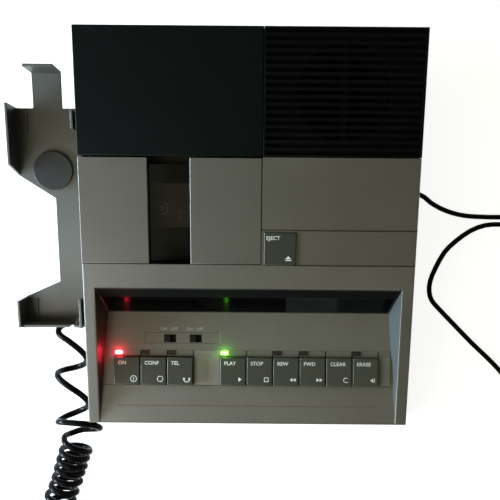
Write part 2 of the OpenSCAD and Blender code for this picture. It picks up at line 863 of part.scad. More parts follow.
module speaker_grille() {
    count = floor((along(hood_d) - rib_pitch) / rib_pitch);
    color(BLACK) difference() {
        intersection() {
            along_x(seam_x + cover_gap, half_w - seam_x - cover_gap) polygon(hood_profile());
            on_top() block([0, 0, -grille_t], [far, far, far]);
        }
        on_top() for (i = [0 : count]) {
            v = hood_v + rib_pitch * (i + 0.6);
            block(
                [seam_x + cover_gap + grille_edge, v - slot_w / 2, -slot_depth],
                [half_w - grille_edge, v + slot_w / 2, over]);
            intersection() {
                translate([speaker_x, speaker_v, -grille_t - over])
                    cylinder(r = speaker_open_r, h = grille_t + 2 * over);
                for (s = [-1, 1])
                    translate([speaker_x + s * (far + grille_bar) / 2, v, 0])
                        cube([far, slot_w, far], center = true);
            }
        }
    }
}

// Cassette door
module door_plate(start, width) {
    along_x(start, width) polygon([
        [-door_len, 0], [-run_gap, 0], [-run_gap - door_bevel * door_t, -door_t], [-door_len, -door_t]
    ]);
}
module cassette_door() {
    color(GREY) on_deck() difference() {
        union() {
            door_plate(0, strip_a);
            door_plate(strip_b, door_w - run_gap - strip_b);
            for (a = ARMS) {
                block([a, -door_len, pane_z - bar_t], [a + door_rib, riser_b, -door_t / 2]);
                block([a, arm_front, arm_low], [a + door_rib, hinge_back, arm_high]);
                translate([a, hinge_back, -hinge_drop]) rotate([0, 90, 0])
                    cylinder(r = hinge_eye_r, h = door_rib);
            }
            for (b = [-door_len, riser_b - bar_w])
                block([ARMS[0], b, pane_z - bar_t], [ARMS[1] + door_rib, b + bar_w, pane_z]);
        }
        translate([0, hinge_back, -hinge_drop]) rotate([0, 90, 0])
            cylinder(r = hinge_pin_r + eye_fit, h = door_w);
    }
}
module door_window() {
    color("#1c2224", 0.6) on_deck() block([strip_a, -door_len, pane_z], [strip_b, riser_b, -window_depth]);
}
module hinge_pin() {
    color(STEEL) on_deck() translate([pin_start, hinge_back, -hinge_drop]) rotate([0, 90, 0])
        cylinder(r = hinge_pin_r, h = pin_l);
}
module eject_key() {
    lip_top = -wall - lip_gap;
    color(KEY_GREY) on_top() {
        block([eject_x, along(door_y), lip_top], [eject_x + eject_w, along(door_y) + eject_d, eject_rise]);
        block(
            [eject_x, along(door_y) - key_lip, lip_top - key_lip_t],
            [eject_x + eject_w, along(door_y) + eject_d + key_lip, lip_top]);
        translate([eject_x + eject_w / 2, along(door_y) + eject_d / 2, -eject_stem_l])
            cylinder(r = eject_stem_r, h = eject_stem_l);
    }
}

// Keys and lamps
module key_cap(slot) {
    x = slot_x(slot) + key_gap / 2;
    lip_top = floor_under - lip_gap;
    color(KEY_GREY) {
        block([x, key_front_y, lip_top], [x + key_w, key_rear_y, floor_z + key_rise]);
        block([x, key_front_y - key_lip, lip_top - key_lip_t], [x + key_w, key_rear_y + key_lip, lip_top]);
        post([x + key_w / 2, (key_front_y + key_rear_y) / 2], key_stem_r, key_stem_end, lip_top);
    }
}
module key_power() {
    key_cap(0);
}
module key_conference() {
    key_cap(1);
}
module key_phone() {
    key_cap(2);
}
module key_play() {
    key_cap(4);
}
module key_stop() {
    key_cap(5);
}
module key_rewind() {
    key_cap(6);
}
module key_forward() {
    key_cap(7);
}
module key_clear() {
    key_cap(8);
}
module key_erase() {
    key_cap(9);
}
module key_board() {
    color(BOARD) block(
        [row_x - key_board_side, key_front_y - key_board_front, board_z],
        [slot_x(key_slots) + key_board_side, key_rear_y + key_board_rear, board_top]);
}
module key_domes() {
    color(WHITE) for (slot = BUTTON_SLOTS)
        post(
            [slot_x(slot) + key_pitch / 2, (key_front_y + key_rear_y) / 2],
            dome_r, board_top, board_top + dome_h);
}
module lamp(slot) {
    translate([slot_x(slot) + led_inset, led_y - led_d / 2, board_top])
        cube([led_w, led_d, floor_z + led_proud - board_top]);
}
module led_power() {
    color("#ff2030") lamp(0);
}
module led_play() {
    color("#30ff30") lamp(4);
}
module leds_unlit() {
    color("#3a1a1a") for (slot = LED_SLOTS) lamp(slot);
}
module display_window() {
    color("#080a0a") on_face() translate([0, 0, -display_t]) linear_extrude(display_t) display_outline(0);
}
module display_module() {
    color("#20241f") on_face()
        translate([lcd_x, -display_drop - display_h / 2, -well_t - lcd_depth / 2])
            cube([lcd_w + 2 * lcd_frame, lcd_h + lcd_frame, lcd_depth], center = true);
}
module switch_knob(x) {
    color(KEY_GREY) translate([x - switch_w / 2 + key_fit, switch_y - knob_d / 2, switch_top + lip_gap])
        cube([knob_w, knob_d, floor_z + knob_proud - switch_top - lip_gap]);
}
module left_switch() {
    switch_knob(switch_x[0]);
}
module right_switch() {
    switch_knob(switch_x[1]);
}
module switch_bodies() {
    color(STEEL) for (x = switch_x)
        block(
            [x - switch_can[0] / 2, switch_y - switch_can[1] / 2, board_top],
            [x + switch_can[0] / 2, switch_y + switch_can[1] / 2, switch_top]);
}

// Speaker and main board
module on_speaker() {
    on_top() translate([speaker_x, speaker_v, -grille_t]) children();
}
module speaker_basket() {
    skin = 1.5;
    throat = magnet_r - 2;
    back = magnet_h - speaker_depth;
    color(STEEL) on_speaker() rotate_extrude() polygon([
        [cone_r + over, 0], [speaker_r, 0], [speaker_r, -skin], [cone_r + over + skin, -skin],
        [throat + skin, back], [magnet_r, back], [magnet_r, -speaker_depth], [0, -speaker_depth],
        [0, back + skin], [throat, back + skin], [cone_r + over, -skin]
    ]);
}
module speaker_cone() {
    skin = 0.8;
    throat = voice_coil_r;
    back = magnet_h - speaker_depth + 3;
    color("#22211f") on_speaker() rotate_extrude() polygon([
        [cone_r + over, -0.3], [cone_r - over, -0.3], [throat, back + skin], [0, back + 2 * skin + 1],
        [0, back - 1.5], [throat, back - 1.5], [throat, back], [cone_r - over, -0.3 - skin],
        [cone_r + over, -0.3 - skin]
    ]);
}
module main_board() {
    // Place, size and height of each part, as shares of the board and of the lowest part
    chips = [
        [0.13, 0.2, 0.23, 0.2, 1], [0.48, 0.24, 0.36, 0.1, 0.8], [0.19, 0.6, 0.16, 0.22, 0.9],
        [0.55, 0.56, 0.29, 0.18, 2], [0.58, 0.82, 0.16, 0.1, 3]
    ];
    size = [main_board_w, main_board_d];
    color(BOARD) translate([main_board_x, main_board_y, board_z]) {
        cube([main_board_w, main_board_d, board_t]);
        for (c = chips) translate([c[0] * size[0], c[1] * size[1], board_t])
            cube([c[2] * size[0], c[3] * size[1], c[4] * chip_h]);
    }
}

// Cassette deck
module on_axis(a, b) {
    on_deck() translate([a, b, 0]) children();
}
module rod(r, low, high) {
    translate([0, 0, low]) cylinder(r = r, h = high - low);
}
module deck_legs() {
    intersection() {
        on_deck() for (a = [post_r, deck_w - post_r], b = [deck_rear - post_r, cassette_b + deck_front + post_r])
            translate([deck_a + a, b, -far]) cylinder(r = post_r, h = far + deck_top);
        block([-half_w, -half_d, base_floor], [half_w, half_d, far]);
    }
}
module deck_plate() {
    color(STEEL) difference() {
        union() {
            deck_legs();
            on_deck() block(
                [deck_a, cassette_b + deck_front, deck_under],
                [deck_a + deck_w, deck_rear, deck_top]);
            for (a = [pad_inset, cassette_w - pad_inset], b = [pad_inset, cassette_d - pad_inset])
                on_axis(cassette_inset + a, cassette_b + b) rod(pad_r, deck_under, cassette_low);
            for (a = [supply_a, take_up_a]) on_axis(a, reel_b) rod(bush_r, deck_under - bush_h, deck_top);
            on_axis(capstan_a, capstan_b) rod(bush_r, deck_under - bush_h, deck_top);
        }
        for (a = [supply_a, take_up_a]) on_axis(a, reel_b) rod(spindle_r + shaft_fit, -far, 0);
        on_axis(capstan_a, capstan_b) rod(capstan_r + shaft_fit, -far, 0);
        on_axis(motor_a, motor_b) rod(motor_hole_r, -far, 0);
    }
}
module motor() {
    color(STEEL) on_axis(motor_a, motor_b) difference() {
        rod(motor_r, deck_top, deck_top + motor_h);
        rod(pulley_shaft_r + shaft_fit, -far, deck_top + motor_bore + over);
    }
}
belt_mid = flywheel_top - flywheel_t / 2;
module grooved_wheel(r, low, high) {
    difference() {
        rod(r, low, high);
        difference() {
            rod(r + over, belt_mid - belt_h / 2 - belt_gap, belt_mid + belt_h / 2 + belt_gap);
            rod(r - rim_depth, -far, 0);
        }
    }
}
module motor_pulley() {
    color("#b08d45") on_axis(motor_a, motor_b) {
        grooved_wheel(pulley_r, flywheel_top - flywheel_t, flywheel_top);
        rod(pulley_shaft_r, flywheel_top - flywheel_t, deck_top + motor_bore);
    }
}
module flywheel() {
    color(STEEL) on_axis(capstan_a, capstan_b) {
        grooved_wheel(flywheel_r, flywheel_top - flywheel_t, flywheel_top);
        rod(capstan_r, flywheel_top - flywheel_t - over, head_top);
    }
}
module belt_loop(grow) {
    hull() {
        translate([capstan_a, capstan_b]) circle(r = flywheel_r - rim_depth + belt_gap + grow);
        translate([motor_a, motor_b]) circle(r = pulley_r - rim_depth + belt_gap + grow);
    }
}
module drive_belt() {
    color(RUBBER) on_deck() translate([0, 0, belt_mid - belt_h / 2]) linear_extrude(belt_h) difference() {
        belt_loop(belt_t);
        belt_loop(0);
    }
}
module head_carriage() {
    low = deck_top + slide_gap;
    color(STEEL) {
        on_deck() block(
            [carriage_a, carriage_b - carriage_d, low],
            [carriage_a + carriage_w, carriage_b, low + carriage_t]);
        on_axis(capstan_a, cassette_b - roller_back - roller_r) rod(roller_post_r, low, head_top);
    }
}
module tape_head() {
    low = deck_top + slide_gap + carriage_t;
    color("#c9c4b4") on_deck() {
        block([head_a, head_b, head_low], [head_a + head_w, head_b + head_d, head_top]);
        block([head_a, head_b, low], [head_a + head_w, carriage_b, head_low]);
    }
}
module pinch_roller() {
    color(RUBBER) on_axis(capstan_a, cassette_b - roller_back - roller_r) difference() {
        rod(roller_r, head_low, head_top - slide_gap);
        rod(roller_post_r + shaft_fit, -far, 0);
    }
}
module spindle(a) {
    color(RUBBER) on_axis(a, reel_b) {
        rod(spindle_r, deck_under - bush_h, cassette_low);
        rod(spindle_disc_r, deck_top + slide_gap, cassette_low - slide_gap);
        rod(spindle_core_r, cassette_low - slide_gap, -cassette_drop - run_gap);
        for (turn = [0, 120, 240]) rotate([0, 0, turn])
            block([0, -0.4, cassette_low - slide_gap], [spindle_fin, 0.4, -cassette_drop - 2]);
    }
}
module take_up_spindle() {
    spindle(take_up_a);
}
module supply_spindle() {
    spindle(supply_a);
}
module cassette_shell() {
    high = -cassette_drop;
    color("#5d5b52") difference() {
        on_deck() difference() {
            block(
                [cassette_inset, cassette_b, cassette_low],
                [cassette_inset + cassette_w, cassette_b + cassette_d, high]);
            block(
                [cassette_inset + shell_t, cassette_b + shell_t, cassette_low + shell_t],
                [cassette_inset + cassette_w - shell_t, cassette_b + cassette_d - shell_t, high - shell_t]);
            for (x = [[head_a, head_w], [capstan_a - roller_r, 2 * roller_r]])
                block(
                    [x[0] - over, cassette_b - over, cassette_low + shell_t],
                    [x[0] + x[1] + over, cassette_b + 2 * shell_t, high - shell_t]);
        }
        for (a = [supply_a, take_up_a]) on_axis(a, reel_b) rod(hub_r + hub_fit, -far, 0);
        on_axis(capstan_a, capstan_b) rod(capstan_r + over, -far, high - shell_t);
    }
}
module reel(a, pack) {
    color(WHITE) on_axis(a, reel_b) difference() {
        union() {
            rod(hub_r, cassette_low + slide_gap, -cassette_drop - slide_gap);
            rod(pack, cassette_low + shell_t + run_gap, -cassette_drop - shell_t - run_gap);
        }
        rod(hub_bore, -far, 0);
    }
}
module take_up_reel() {
    reel(take_up_a, take_up_pack_r);
}
module supply_reel() {
    reel(supply_a, supply_pack_r);
}

// Feet and screws
module feet() {
    color(RUBBER) foot_places() cylinder(r = foot_r, h = foot_h + foot_seat);
}
module case_screws() {
    color(STEEL) for (at = SCREWS) {
        post(at, head_r, foot_h + 0.3, foot_h + head_h);
        post(at, screw_r, foot_h + 0.3, base_floor + screw_l - 0.5);
    }
}

// Microphone cradle
module upright(x, low_v, high_v) {
    along_x(x, sheet_t) polygon([
        [low_v[0], cradle_low], [low_v[0], cradle_top], [high_v[0], cradle_top + cradle_wall_h],
        [high_v[1], cradle_top + cradle_wall_h], [low_v[1], cradle_low]
    ]);
}
module cross_lip(x, width, v, height, thickness) {
    shift = lean * height;
    along_x(x, width) polygon([
        [v, cradle_low], [v + shift, cradle_top + height],
        [v + shift + thickness, cradle_top + height], [v + thickness, cradle_low]
    ]);
}
module mic_cradle() {
    hook_w = hook_right - hook_left;
    color(SHEET_GREY) on_top() difference() {
        union() {
            translate([0, 0, cradle_low]) linear_extrude(sheet_t) polygon([
                [-half_w, cradle_rear], [hook_right, cradle_rear], [hook_right, hook_end],
                [hook_left, hook_end], [hook_left, cradle_rear], [cradle_x, cradle_rear], [cradle_x, wing_front],
                [strip_left, neck_rear], [strip_left, neck_front], [cradle_x, foot_rear],
                [cradle_x, foot_front], [-half_w, foot_front]
            ]);
            upright(cradle_x, [wing_front, cradle_rear], [wing_front + 6.9, cradle_rear + wall_lean]);
            upright(cradle_x, [foot_front, foot_rear], [foot_front + wall_lean, foot_rear + 1.7]);
            upright(tab_x, [tab_front, tab_rear], [tab_front + wall_lean, tab_rear + wall_lean]);
            upright(tab_x, [foot_front, foot_rear], [foot_front + wall_lean, foot_rear + 3]);
            cross_lip(cradle_x, tab_x + sheet_t - cradle_x, foot_front, lip_h, sheet_t);
            cross_lip(hook_left, hook_w, hook_end - sheet_t, cradle_wall_h, sheet_t);
            block(
                [-half_w - sheet_t, flange_front, cradle_low - flange_h],
                [-half_w, flange_rear, cradle_top]);
            for (bead = [[foot_front + bead_w, foot_rear - bead_w], [tab_front, tab_rear]])
                block(
                    [bead_x, bead[0], cradle_low],
                    [bead_x + bead_w, bead[1], cradle_top + bead_h]);
        }
        block(
            [cord_notch_x, foot_front - over, cradle_top],
            [cord_notch_x + cord_notch, foot_front + 2 * sheet_t + lean * lip_h, far]);
        for (v = CRADLE_SCREW_V)
            translate([-half_w - sheet_t - over, v, cradle_screw_w]) rotate([0, 90, 0])
                cylinder(r = cradle_screw_r + screw_clear, h = sheet_t + 2 * over);
    }
}
module cradle_disc() {
    color("#2b2d2a") on_top() translate([disc_x, disc_v, cradle_top]) cylinder(r = disc_r, h = disc_t);
}
module cradle_screws() {
    color(STEEL) on_top() for (v = CRADLE_SCREW_V)
        translate([-half_w - sheet_t, v, cradle_screw_w]) rotate([0, 90, 0]) {
            translate([0, 0, -cradle_head_h]) cylinder(r = cradle_head_r, h = cradle_head_h);
            cylinder(r = cradle_screw_r, h = sheet_t + wall + over);
        }
}

// Jacks and plugs
module wall_jacks() {
    color(BLACK) {
        on_left(mic_jack_y) jack(small_bore);
        on_right(power_jack_y) jack(large_bore);
        on_rear(headset_x) jack(small_bore);
        on_rear(foot_jack_x) jack(large_bore);
    }
}
module plug(side, y, shaft, relief_end) {
    start = half_w + jack_proud;
    low = min(side * start, side * (start + plug_t));
    body_y = y + plug_offset;
    block([low, body_y - plug_l, jack_z - plug_h / 2], [low + plug_t, body_y, jack_z + plug_h / 2]);
    translate([side * (start - plug_shaft_l), y, jack_z]) rotate([0, side * 90, 0])
        cylinder(r = shaft, h = plug_shaft_l);
    translate([side * (start + plug_t / 2), relief_end, jack_z]) rotate([-90, 0, 0])
        cylinder(r = relief_r, h = body_y - plug_l - relief_end);
}
module mic_plug() {
    color(RUBBER) plug(-1, mic_jack_y, small_bore - jack_fit, MIC_TAIL[0][1]);
}
module power_plug() {
    color(RUBBER) plug(1, power_jack_y, large_bore - jack_fit, POWER_ROUTE[0][1]);
}

// Cords
module mic_cord() {
    echo("microphone cord length", run_length(MIC_CORD));
    echo("least gap between its curls", least_gap(MIC_CORD, curl_wire_d, 4));
    color(RUBBER) tube(MIC_CORD, curl_wire_d, curl_sides);
}
module power_lead() {
    echo("lead outside the coil", run_length(LEAD_IN) + run_length(LEAD_OUT));
    color(RUBBER) {
        tube(LEAD_IN, lead_d, lead_sides);
        tube(LEAD_OUT, lead_d, lead_sides);
    }
}
module power_coil() {
    echo("lead in the coil", run_length(COIL));
    echo("least gap between its loops", least_gap(COIL, lead_d, 4));
    color(RUBBER) tube(COIL, lead_d, coil_sides);
}
module coil_tie() {
    inner = coil_out_r - coil_pitch * coil_layer_loops - lead_d / 2 - tie_gap;
    outer = coil_out_r + lead_d / 2 + tie_gap;
    low = coil_z - lead_d / 2 - tie_gap;
    high = coil_z + coil_pitch * (coil_layers - 1) + lead_d / 2 + tie_gap;
    color("#26282a") translate([coil_x, coil_y, 0]) rotate([0, 0, tie_angle]) difference() {
        block([inner - tie_t, -tie_w / 2, low - tie_t], [outer + tie_t, tie_w / 2, high + tie_t]);
        block([inner, -tie_w, low], [outer, tie_w, high]);
    }
}
module adapter_case() {
    color(RUBBER) {
        translate([adapter_x, adapter_y, 0]) hull() {
            translate([adapter_edge, adapter_edge, 0]) cube(adapter_size - 2 * [adapter_edge, adapter_edge, 0]);
            translate([0, 0, adapter_edge]) cube(adapter_size - 2 * [0, 0, adapter_edge]);
        }
        translate([adapter_relief_x, adapter_y, adapter_relief_z]) rotate([90, 0, 0])
            cylinder(r1 = relief_r + over, r2 = lead_d / 2 + 0.4, h = adapter_relief_l);
    }
}
module adapter_blades() {
    mid = [adapter_x + adapter_size[0] / 2, adapter_y + adapter_size[1] / 2, adapter_size[2]];
    color("#b08d45") for (s = [-1, 1])
        translate(mid + [s * blade_pitch / 2 - blade_size[0] / 2, -blade_size[1] / 2, 0]) cube(blade_size);
}

// Hand microphone
module mic_outline(inset) {
    hull() {
        translate([mic_x + mic_tail_r, mic_y]) circle(r = mic_tail_r - inset);
        translate([mic_x + mic_l - mic_head_r, mic_y]) circle(r = mic_head_r - inset);
    }
}
module mic_back() {
    color("#2a2c2b") difference() {
        union() {
            linear_extrude(mic_split) mic_outline(0);
            translate([mic_x + mic_wall, mic_y, mic_cord_z]) rotate([0, -90, 0])
                cylinder(r1 = relief_r + over, r2 = relief_r, h = mic_relief_l + mic_wall);
        }
        translate([0, 0, mic_wall]) linear_extrude(mic_split) mic_outline(mic_wall);
    }
}
module mic_front() {
    slots = 7;
    slot_step = 4;
    slot_at = mic_x + mic_l - mic_head_r;
    color(GREY) difference() {
        translate([0, 0, mic_split]) linear_extrude(mic_h - mic_split) mic_outline(0);
        translate([0, 0, mic_split - over]) linear_extrude(mic_h - mic_split - mic_wall + over)
            mic_outline(mic_wall);
        translate([mic_x - over, mic_y, mic_cord_z]) rotate([0, 90, 0])
            cylinder(r = relief_r + 2 * over, h = 4 * mic_wall);
        for (i = [0 : slots - 1])
            translate([slot_at + (i - (slots - 1) / 2) * slot_step, mic_y, mic_h])
                cube([slot_w, mic_slot_l, 4 * mic_wall], center = true);
        block(
            [mic_slide_x - key_fit, mic_y - mic_slide_w / 2 - key_fit, mic_h - mic_wall - over],
            [mic_slide_x + mic_slide_l + mic_slide_travel + key_fit, mic_y + mic_slide_w / 2 + key_fit, mic_h + over]);
    }
}
module mic_slide() {
    low = mic_h - mic_wall - lip_gap;
    color(KEY_GREY) {
        block(
            [mic_slide_x, mic_y - mic_slide_w / 2, low],
            [mic_slide_x + mic_slide_l, mic_y + mic_slide_w / 2, mic_h + mic_slide_proud]);
        block(
            [mic_slide_x, mic_y - mic_slide_w / 2 - key_lip, low - key_lip_t],
            [mic_slide_x + mic_slide_l, mic_y + mic_slide_w / 2 + key_lip, low]);
    }
}

base_pan();
top_case();
rear_hood();
speaker_grille();
cassette_door();
door_window();
hinge_pin();
eject_key();
key_power();
key_conference();
key_phone();
key_play();
key_stop();
key_rewind();
key_forward();
key_clear();
key_erase();
key_board();
key_domes();
led_power();
led_play();
leds_unlit();
display_window();
display_module();
left_switch();
right_switch();
switch_bodies();
speaker_basket();
speaker_cone();
main_board();
deck_plate();
motor();
motor_pulley();
flywheel();
drive_belt();
head_carriage();
tape_head();
pinch_roller();
take_up_spindle();
supply_spindle();
cassette_shell();
take_up_reel();
supply_reel();
feet();
case_screws();
mic_cradle();
cradle_disc();
cradle_screws();
wall_jacks();
mic_plug();
mic_cord();
mic_back();
mic_front();
mic_slide();
power_plug();
power_lead();
power_coil();
coil_tie();
adapter_case();
adapter_blades();
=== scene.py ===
import math

import bmesh
import bpy
from mathutils import Matrix, Vector


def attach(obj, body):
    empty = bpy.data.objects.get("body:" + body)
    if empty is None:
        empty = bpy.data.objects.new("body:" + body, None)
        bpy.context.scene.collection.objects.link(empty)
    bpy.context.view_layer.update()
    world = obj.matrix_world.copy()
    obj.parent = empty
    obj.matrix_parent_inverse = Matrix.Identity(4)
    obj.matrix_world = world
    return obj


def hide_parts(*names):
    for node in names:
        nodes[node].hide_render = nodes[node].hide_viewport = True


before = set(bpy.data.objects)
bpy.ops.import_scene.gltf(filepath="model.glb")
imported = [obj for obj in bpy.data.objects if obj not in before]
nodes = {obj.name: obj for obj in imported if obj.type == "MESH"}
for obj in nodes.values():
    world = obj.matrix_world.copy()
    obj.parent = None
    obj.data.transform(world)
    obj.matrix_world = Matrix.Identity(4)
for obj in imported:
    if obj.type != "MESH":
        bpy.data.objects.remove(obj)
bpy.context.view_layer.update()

scene = bpy.context.scene
MM = 0.001

# Sizes of the case, in millimetres, as the solids have them
SLOPE = math.radians(12)
TAN, COS, SIN = math.tan(SLOPE), math.cos(SLOPE), math.sin(SLOPE)
HALF_W, HALF_D, FRONT_H = 92.0, 108.0, 20.0
TOP_0 = FRONT_H + HALF_D * TAN
DOOR_Y, SEAM_X = -15.3, 7.0
KEY_PITCH, ROW_X = 15.3, -77.5
KEY_FRONT, KEY_TOP = -85.3, 22.4
LAMP_X, LAMP_Y, LAMP_Z = 2.7, -66.8, 20.3


def on_top(u, v, w):
    """The point u across the sloped top, v up along it and w above it."""
    return Vector((u, v * COS - w * SIN, TOP_0 + v * SIN + w * COS))


# Camera straight above the machine
camera_data = bpy.data.cameras.new("camera")
camera_data.sensor_width = 36
camera_data.lens = 48.46
camera_data.clip_start = 0.01
camera = bpy.data.objects.new("camera", camera_data)
camera.location = (0.66 * MM, -7 * MM, 410.4 * MM)
camera.rotation_euler = (0, 0, 0.0083)
scene.collection.objects.link(camera)
scene.camera = camera


# Cords
def smooth(points, steps):
    """A curve through the points, with each stretch between two of them cut into steps."""
    p = [2 * points[0] - points[1], *points, 2 * points[-1] - points[-2]]
    made = []
    for i in range(1, len(p) - 2):
        a, b, c, d = p[i - 1 : i + 3]
        for k in range(steps):
            t = k / steps
            made.append(
                0.5 * (2 * b + (c - a) * t + (2 * a - 5 * b + 4 * c - d) * t**2 + (3 * b - a - 3 * c + d) * t**3)
            )
    return [*made, points[-1]]


def run_length(points):
    return sum((b - a).length for a, b in zip(points, points[1:]))


def lookup(x, table):
    """The table's value at x, on straight lines between its rows."""
    if x <= table[0][0]:
        return table[0][1]
    for (x0, y0), (x1, y1) in zip(table, table[1:]):
        if x <= x1:
            return y0 + (y1 - y0) * (x - x0) / (x1 - x0)
    return table[-1][1]


# The microphone cord's curls, in millimetres. The first ones are pulled apart and the rest lie close together. Their
# axis runs to the front from CURL_FIRST to CURL_TURN, and then in a quarter circle to the right.
CURLS, CURL_STEPS = 26, 8
CURL_R, CURL_Z, CURL_WIRE = 8.3, 10.35, 3.6
CURL_SPACING, CURL_PITCH = [26, 27, 9, 7.3], 5.4
CURL_FIRST, CURL_TURN, TURN_R = -57, -155, 42
# The axis's x, by the distance in front of the machine's middle
CURL_DRIFT = [
    (50, -104), (81, -104.6), (106, -103), (113, -99), (120, -101), (127, -102.5),
    (137, -105), (146, -107.2), (155, -111),
]
TURN_X = CURL_DRIFT[-1][1]
# By the number of curls: half the width, the skew of a curl, how unevenly it goes forward, and its shift to the rear
CURL_REACH = [(1.5, 8.4), (2, 11.7), (2.5, 11.8), (3, 7.8), (10, 7.9), (14, 8.4)]
CURL_LEAN = [(0, 2), (1, 2), (1.5, 1), (2, 0.3), (2.5, 0), (3, 1), (3.5, 1.3), (8, 1.1), (14, 0)]
CURL_HOLD = [(0, 0), (0.2, 0.6), (2, 0.6), (3, -0.2), (14, -0.2), (16, 0)]
CURL_SHIFT = [
    (2, 0), (2.1, 1.5), (2.25, 3), (2.4, 2.9), (2.5, 1), (2.6, 0.3), (2.75, 0), (2.9, -1.5), (3, -0.7),
    (3.25, -2.2), (3.5, -3.6), (3.75, -2.2), (4, -1), (4.5, -1.4), (5, -0.7), (5.5, -0.9), (6, -0.4),
    (6.5, 0.6), (7, -0.4), (7.5, 0.8), (8, 0),
]


def curl_axis(t):
    """The curls' axis after t curls: its place and its heading."""
    whole = max(0, min(len(CURL_SPACING), math.floor(t)))
    step = CURL_PITCH if whole == len(CURL_SPACING) else CURL_SPACING[whole]
    s = sum(CURL_SPACING[:whole]) + (t - whole) * step
    straight = CURL_FIRST - CURL_TURN
    bend = TURN_R * math.pi / 2
    if s < straight:
        return lookup(s - CURL_FIRST, CURL_DRIFT), CURL_FIRST - s, 0
    if s < straight + bend:
        a = (s - straight) / TURN_R
        return TURN_X + TURN_R * (1 - math.cos(a)), CURL_TURN - TURN_R * math.sin(a), a
    return TURN_X + TURN_R + s - straight - bend, CURL_TURN - TURN_R, math.pi / 2


def curl_point(i):
    """The wire's centre, i steps into the curls."""
    t = i / CURL_STEPS
    angle = 2 * math.pi * t
    x, y, a = curl_axis(t - lookup(t, CURL_HOLD) * math.sin(angle) / (2 * math.pi))
    side = lookup(t, CURL_REACH) * math.cos(angle)
    lean = lookup(t, CURL_LEAN) * math.cos(angle)
    return (
        x - side * math.cos(a) - lean * math.sin(a),
        y - side * math.sin(a) + lean * math.cos(a) + lookup(t, CURL_SHIFT),
        CURL_Z + CURL_R * math.sin(angle),
    )


# Routes of both cords, from the case to their far ends
MIC_ROUTE = [
    (-97, -33, 9.3), (-97, -36.2, 9.3), (-96.8, -40, 6.8), (-97.2, -44, 3.5), (-99.6, -47.8, 2.15),
    *[curl_point(i) for i in range(-2, CURLS * CURL_STEPS + 1)],
    (-42.6, -201.6, 15), (-39.4, -198.2, 13.4), (-36.2, -197, 12), (-33, -197, 12),
]
LEAD_D, LEAD_Z = 3.0, 1.6
LEAD_IN = [
    (97, 38, 9.3), (97, 34.8, 9.3), (97.4, 31.6, 6.8), (98.8, 29.2, 3.6), (102, 28, 1.8), (106.4, 25.9, LEAD_Z),
    *[(x, y, LEAD_Z) for x, y in (
        (110, 22.8), (116, 19.3), (123.4, 16.5), (131, 14.9), (140, 14.3), (152, 14.2), (160, 15.2),
        (168, 18.2), (174, 22.6), (180, 25), (186, 22.6), (188, 16.5), (184, 10), (176, 7.2), (166, 8),
        (158, 9.4), (152, 9.8), (143.4, 9.2), (134.3, 5.7), (125.2, -0.9), (118.6, -7.6), (113.1, -17.6),
        (110.2, -25.2), (109.7, -31.3), (111.2, -36.6), (115.1, -41.2), (123.3, -49.7), (135.9, -62.5),
        (145.2, -71.2), (153.2, -79.4))],
    (160, -88.3, 1.9),
]
LEAD_OUT = [
    (205.3, -70.4, 12.5), (205, -66, 11.5), (203.6, -61.8, 10.2), (201.2, -58.6, 9), (198.4, -56.4, 8.2),
    (196.6, -54.8, 8), (196, -53.2, 8), (196, -50, 8),
]
COIL_LOOPS, COIL_PITCH, COIL_OUT, COIL_LAYERS, COIL_STEPS = 14.375, 3.5, 22.6, 4, 24
COIL_X, COIL_Y, COIL_Z, COIL_START = 182.5, -77.5, 2.4, math.radians(225)


def coil_point(i):
    """The coil winds in and out at a steady rate and climbs a layer in each half turn of reversal."""
    t = i / COIL_STEPS
    per = COIL_LOOPS / COIL_LAYERS
    f = t / per
    k = math.floor(f)
    r = COIL_OUT - COIL_PITCH * per * (f - k if k % 2 == 0 else 1 - f + k)
    rise = 0
    for k in range(1, COIL_LAYERS):
        e = max(0, min(1, (t - k * per) * 2 + 0.5))
        rise += e * e * (3 - 2 * e)
    a = COIL_START + 2 * math.pi * t
    return COIL_X + r * math.cos(a), COIL_Y + r * math.sin(a), COIL_Z + COIL_PITCH * rise


COIL = [coil_point(i) for i in range(int(COIL_LOOPS * COIL_STEPS) + 1)]
coil_in = (Vector(COIL[1]) - Vector(COIL[0])).normalized() * LEAD_D
coil_out = (Vector(COIL[-1]) - Vector(COIL[-2])).normalized() * LEAD_D
POWER_ROUTE = [*LEAD_IN, Vector(COIL[0]) - coil_in, *COIL, Vector(COIL[-1]) + coil_out, *LEAD_OUT]


def cord_curve(name, route, steps, diameter):
    """A round cord along a route: its object and its length in metres."""
    points = smooth([Vector(p) * MM for p in route], steps)
    data = bpy.data.curves.new(name, "CURVE")
    data.dimensions = "3D"
    data.bevel_depth = 1
    data.bevel_resolution = 3
    data.use_fill_caps = True
    spline = data.splines.new("POLY")
    spline.points.add(len(points) - 1)
    for at, p in zip(spline.points, points):
        at.co = (*p, 1)
        at.radius = diameter * MM / 2
    spline.use_smooth = True
    made = bpy.data.objects.new(name, data)
    scene.collection.objects.link(made)
    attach(made, "case")
    return made, run_length(points)


mic_cord, mic_cord_length = cord_curve("mic_cord_curls", MIC_ROUTE, 4, CURL_WIRE)
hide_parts("mic_cord")
power_cord, power_cord_length = cord_curve("power_cord_run", POWER_ROUTE, 2, LEAD_D)
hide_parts("power_lead", "power_coil")


# Materials
def lin(r, g, b):
    """A screen colour, 0 to 255, in the linear values that shaders take."""
    screen = (r / 255, g / 255, b / 255)
    return tuple(c / 12.92 if c <= 0.04045 else ((c + 0.055) / 1.055) ** 2.4 for c in screen)


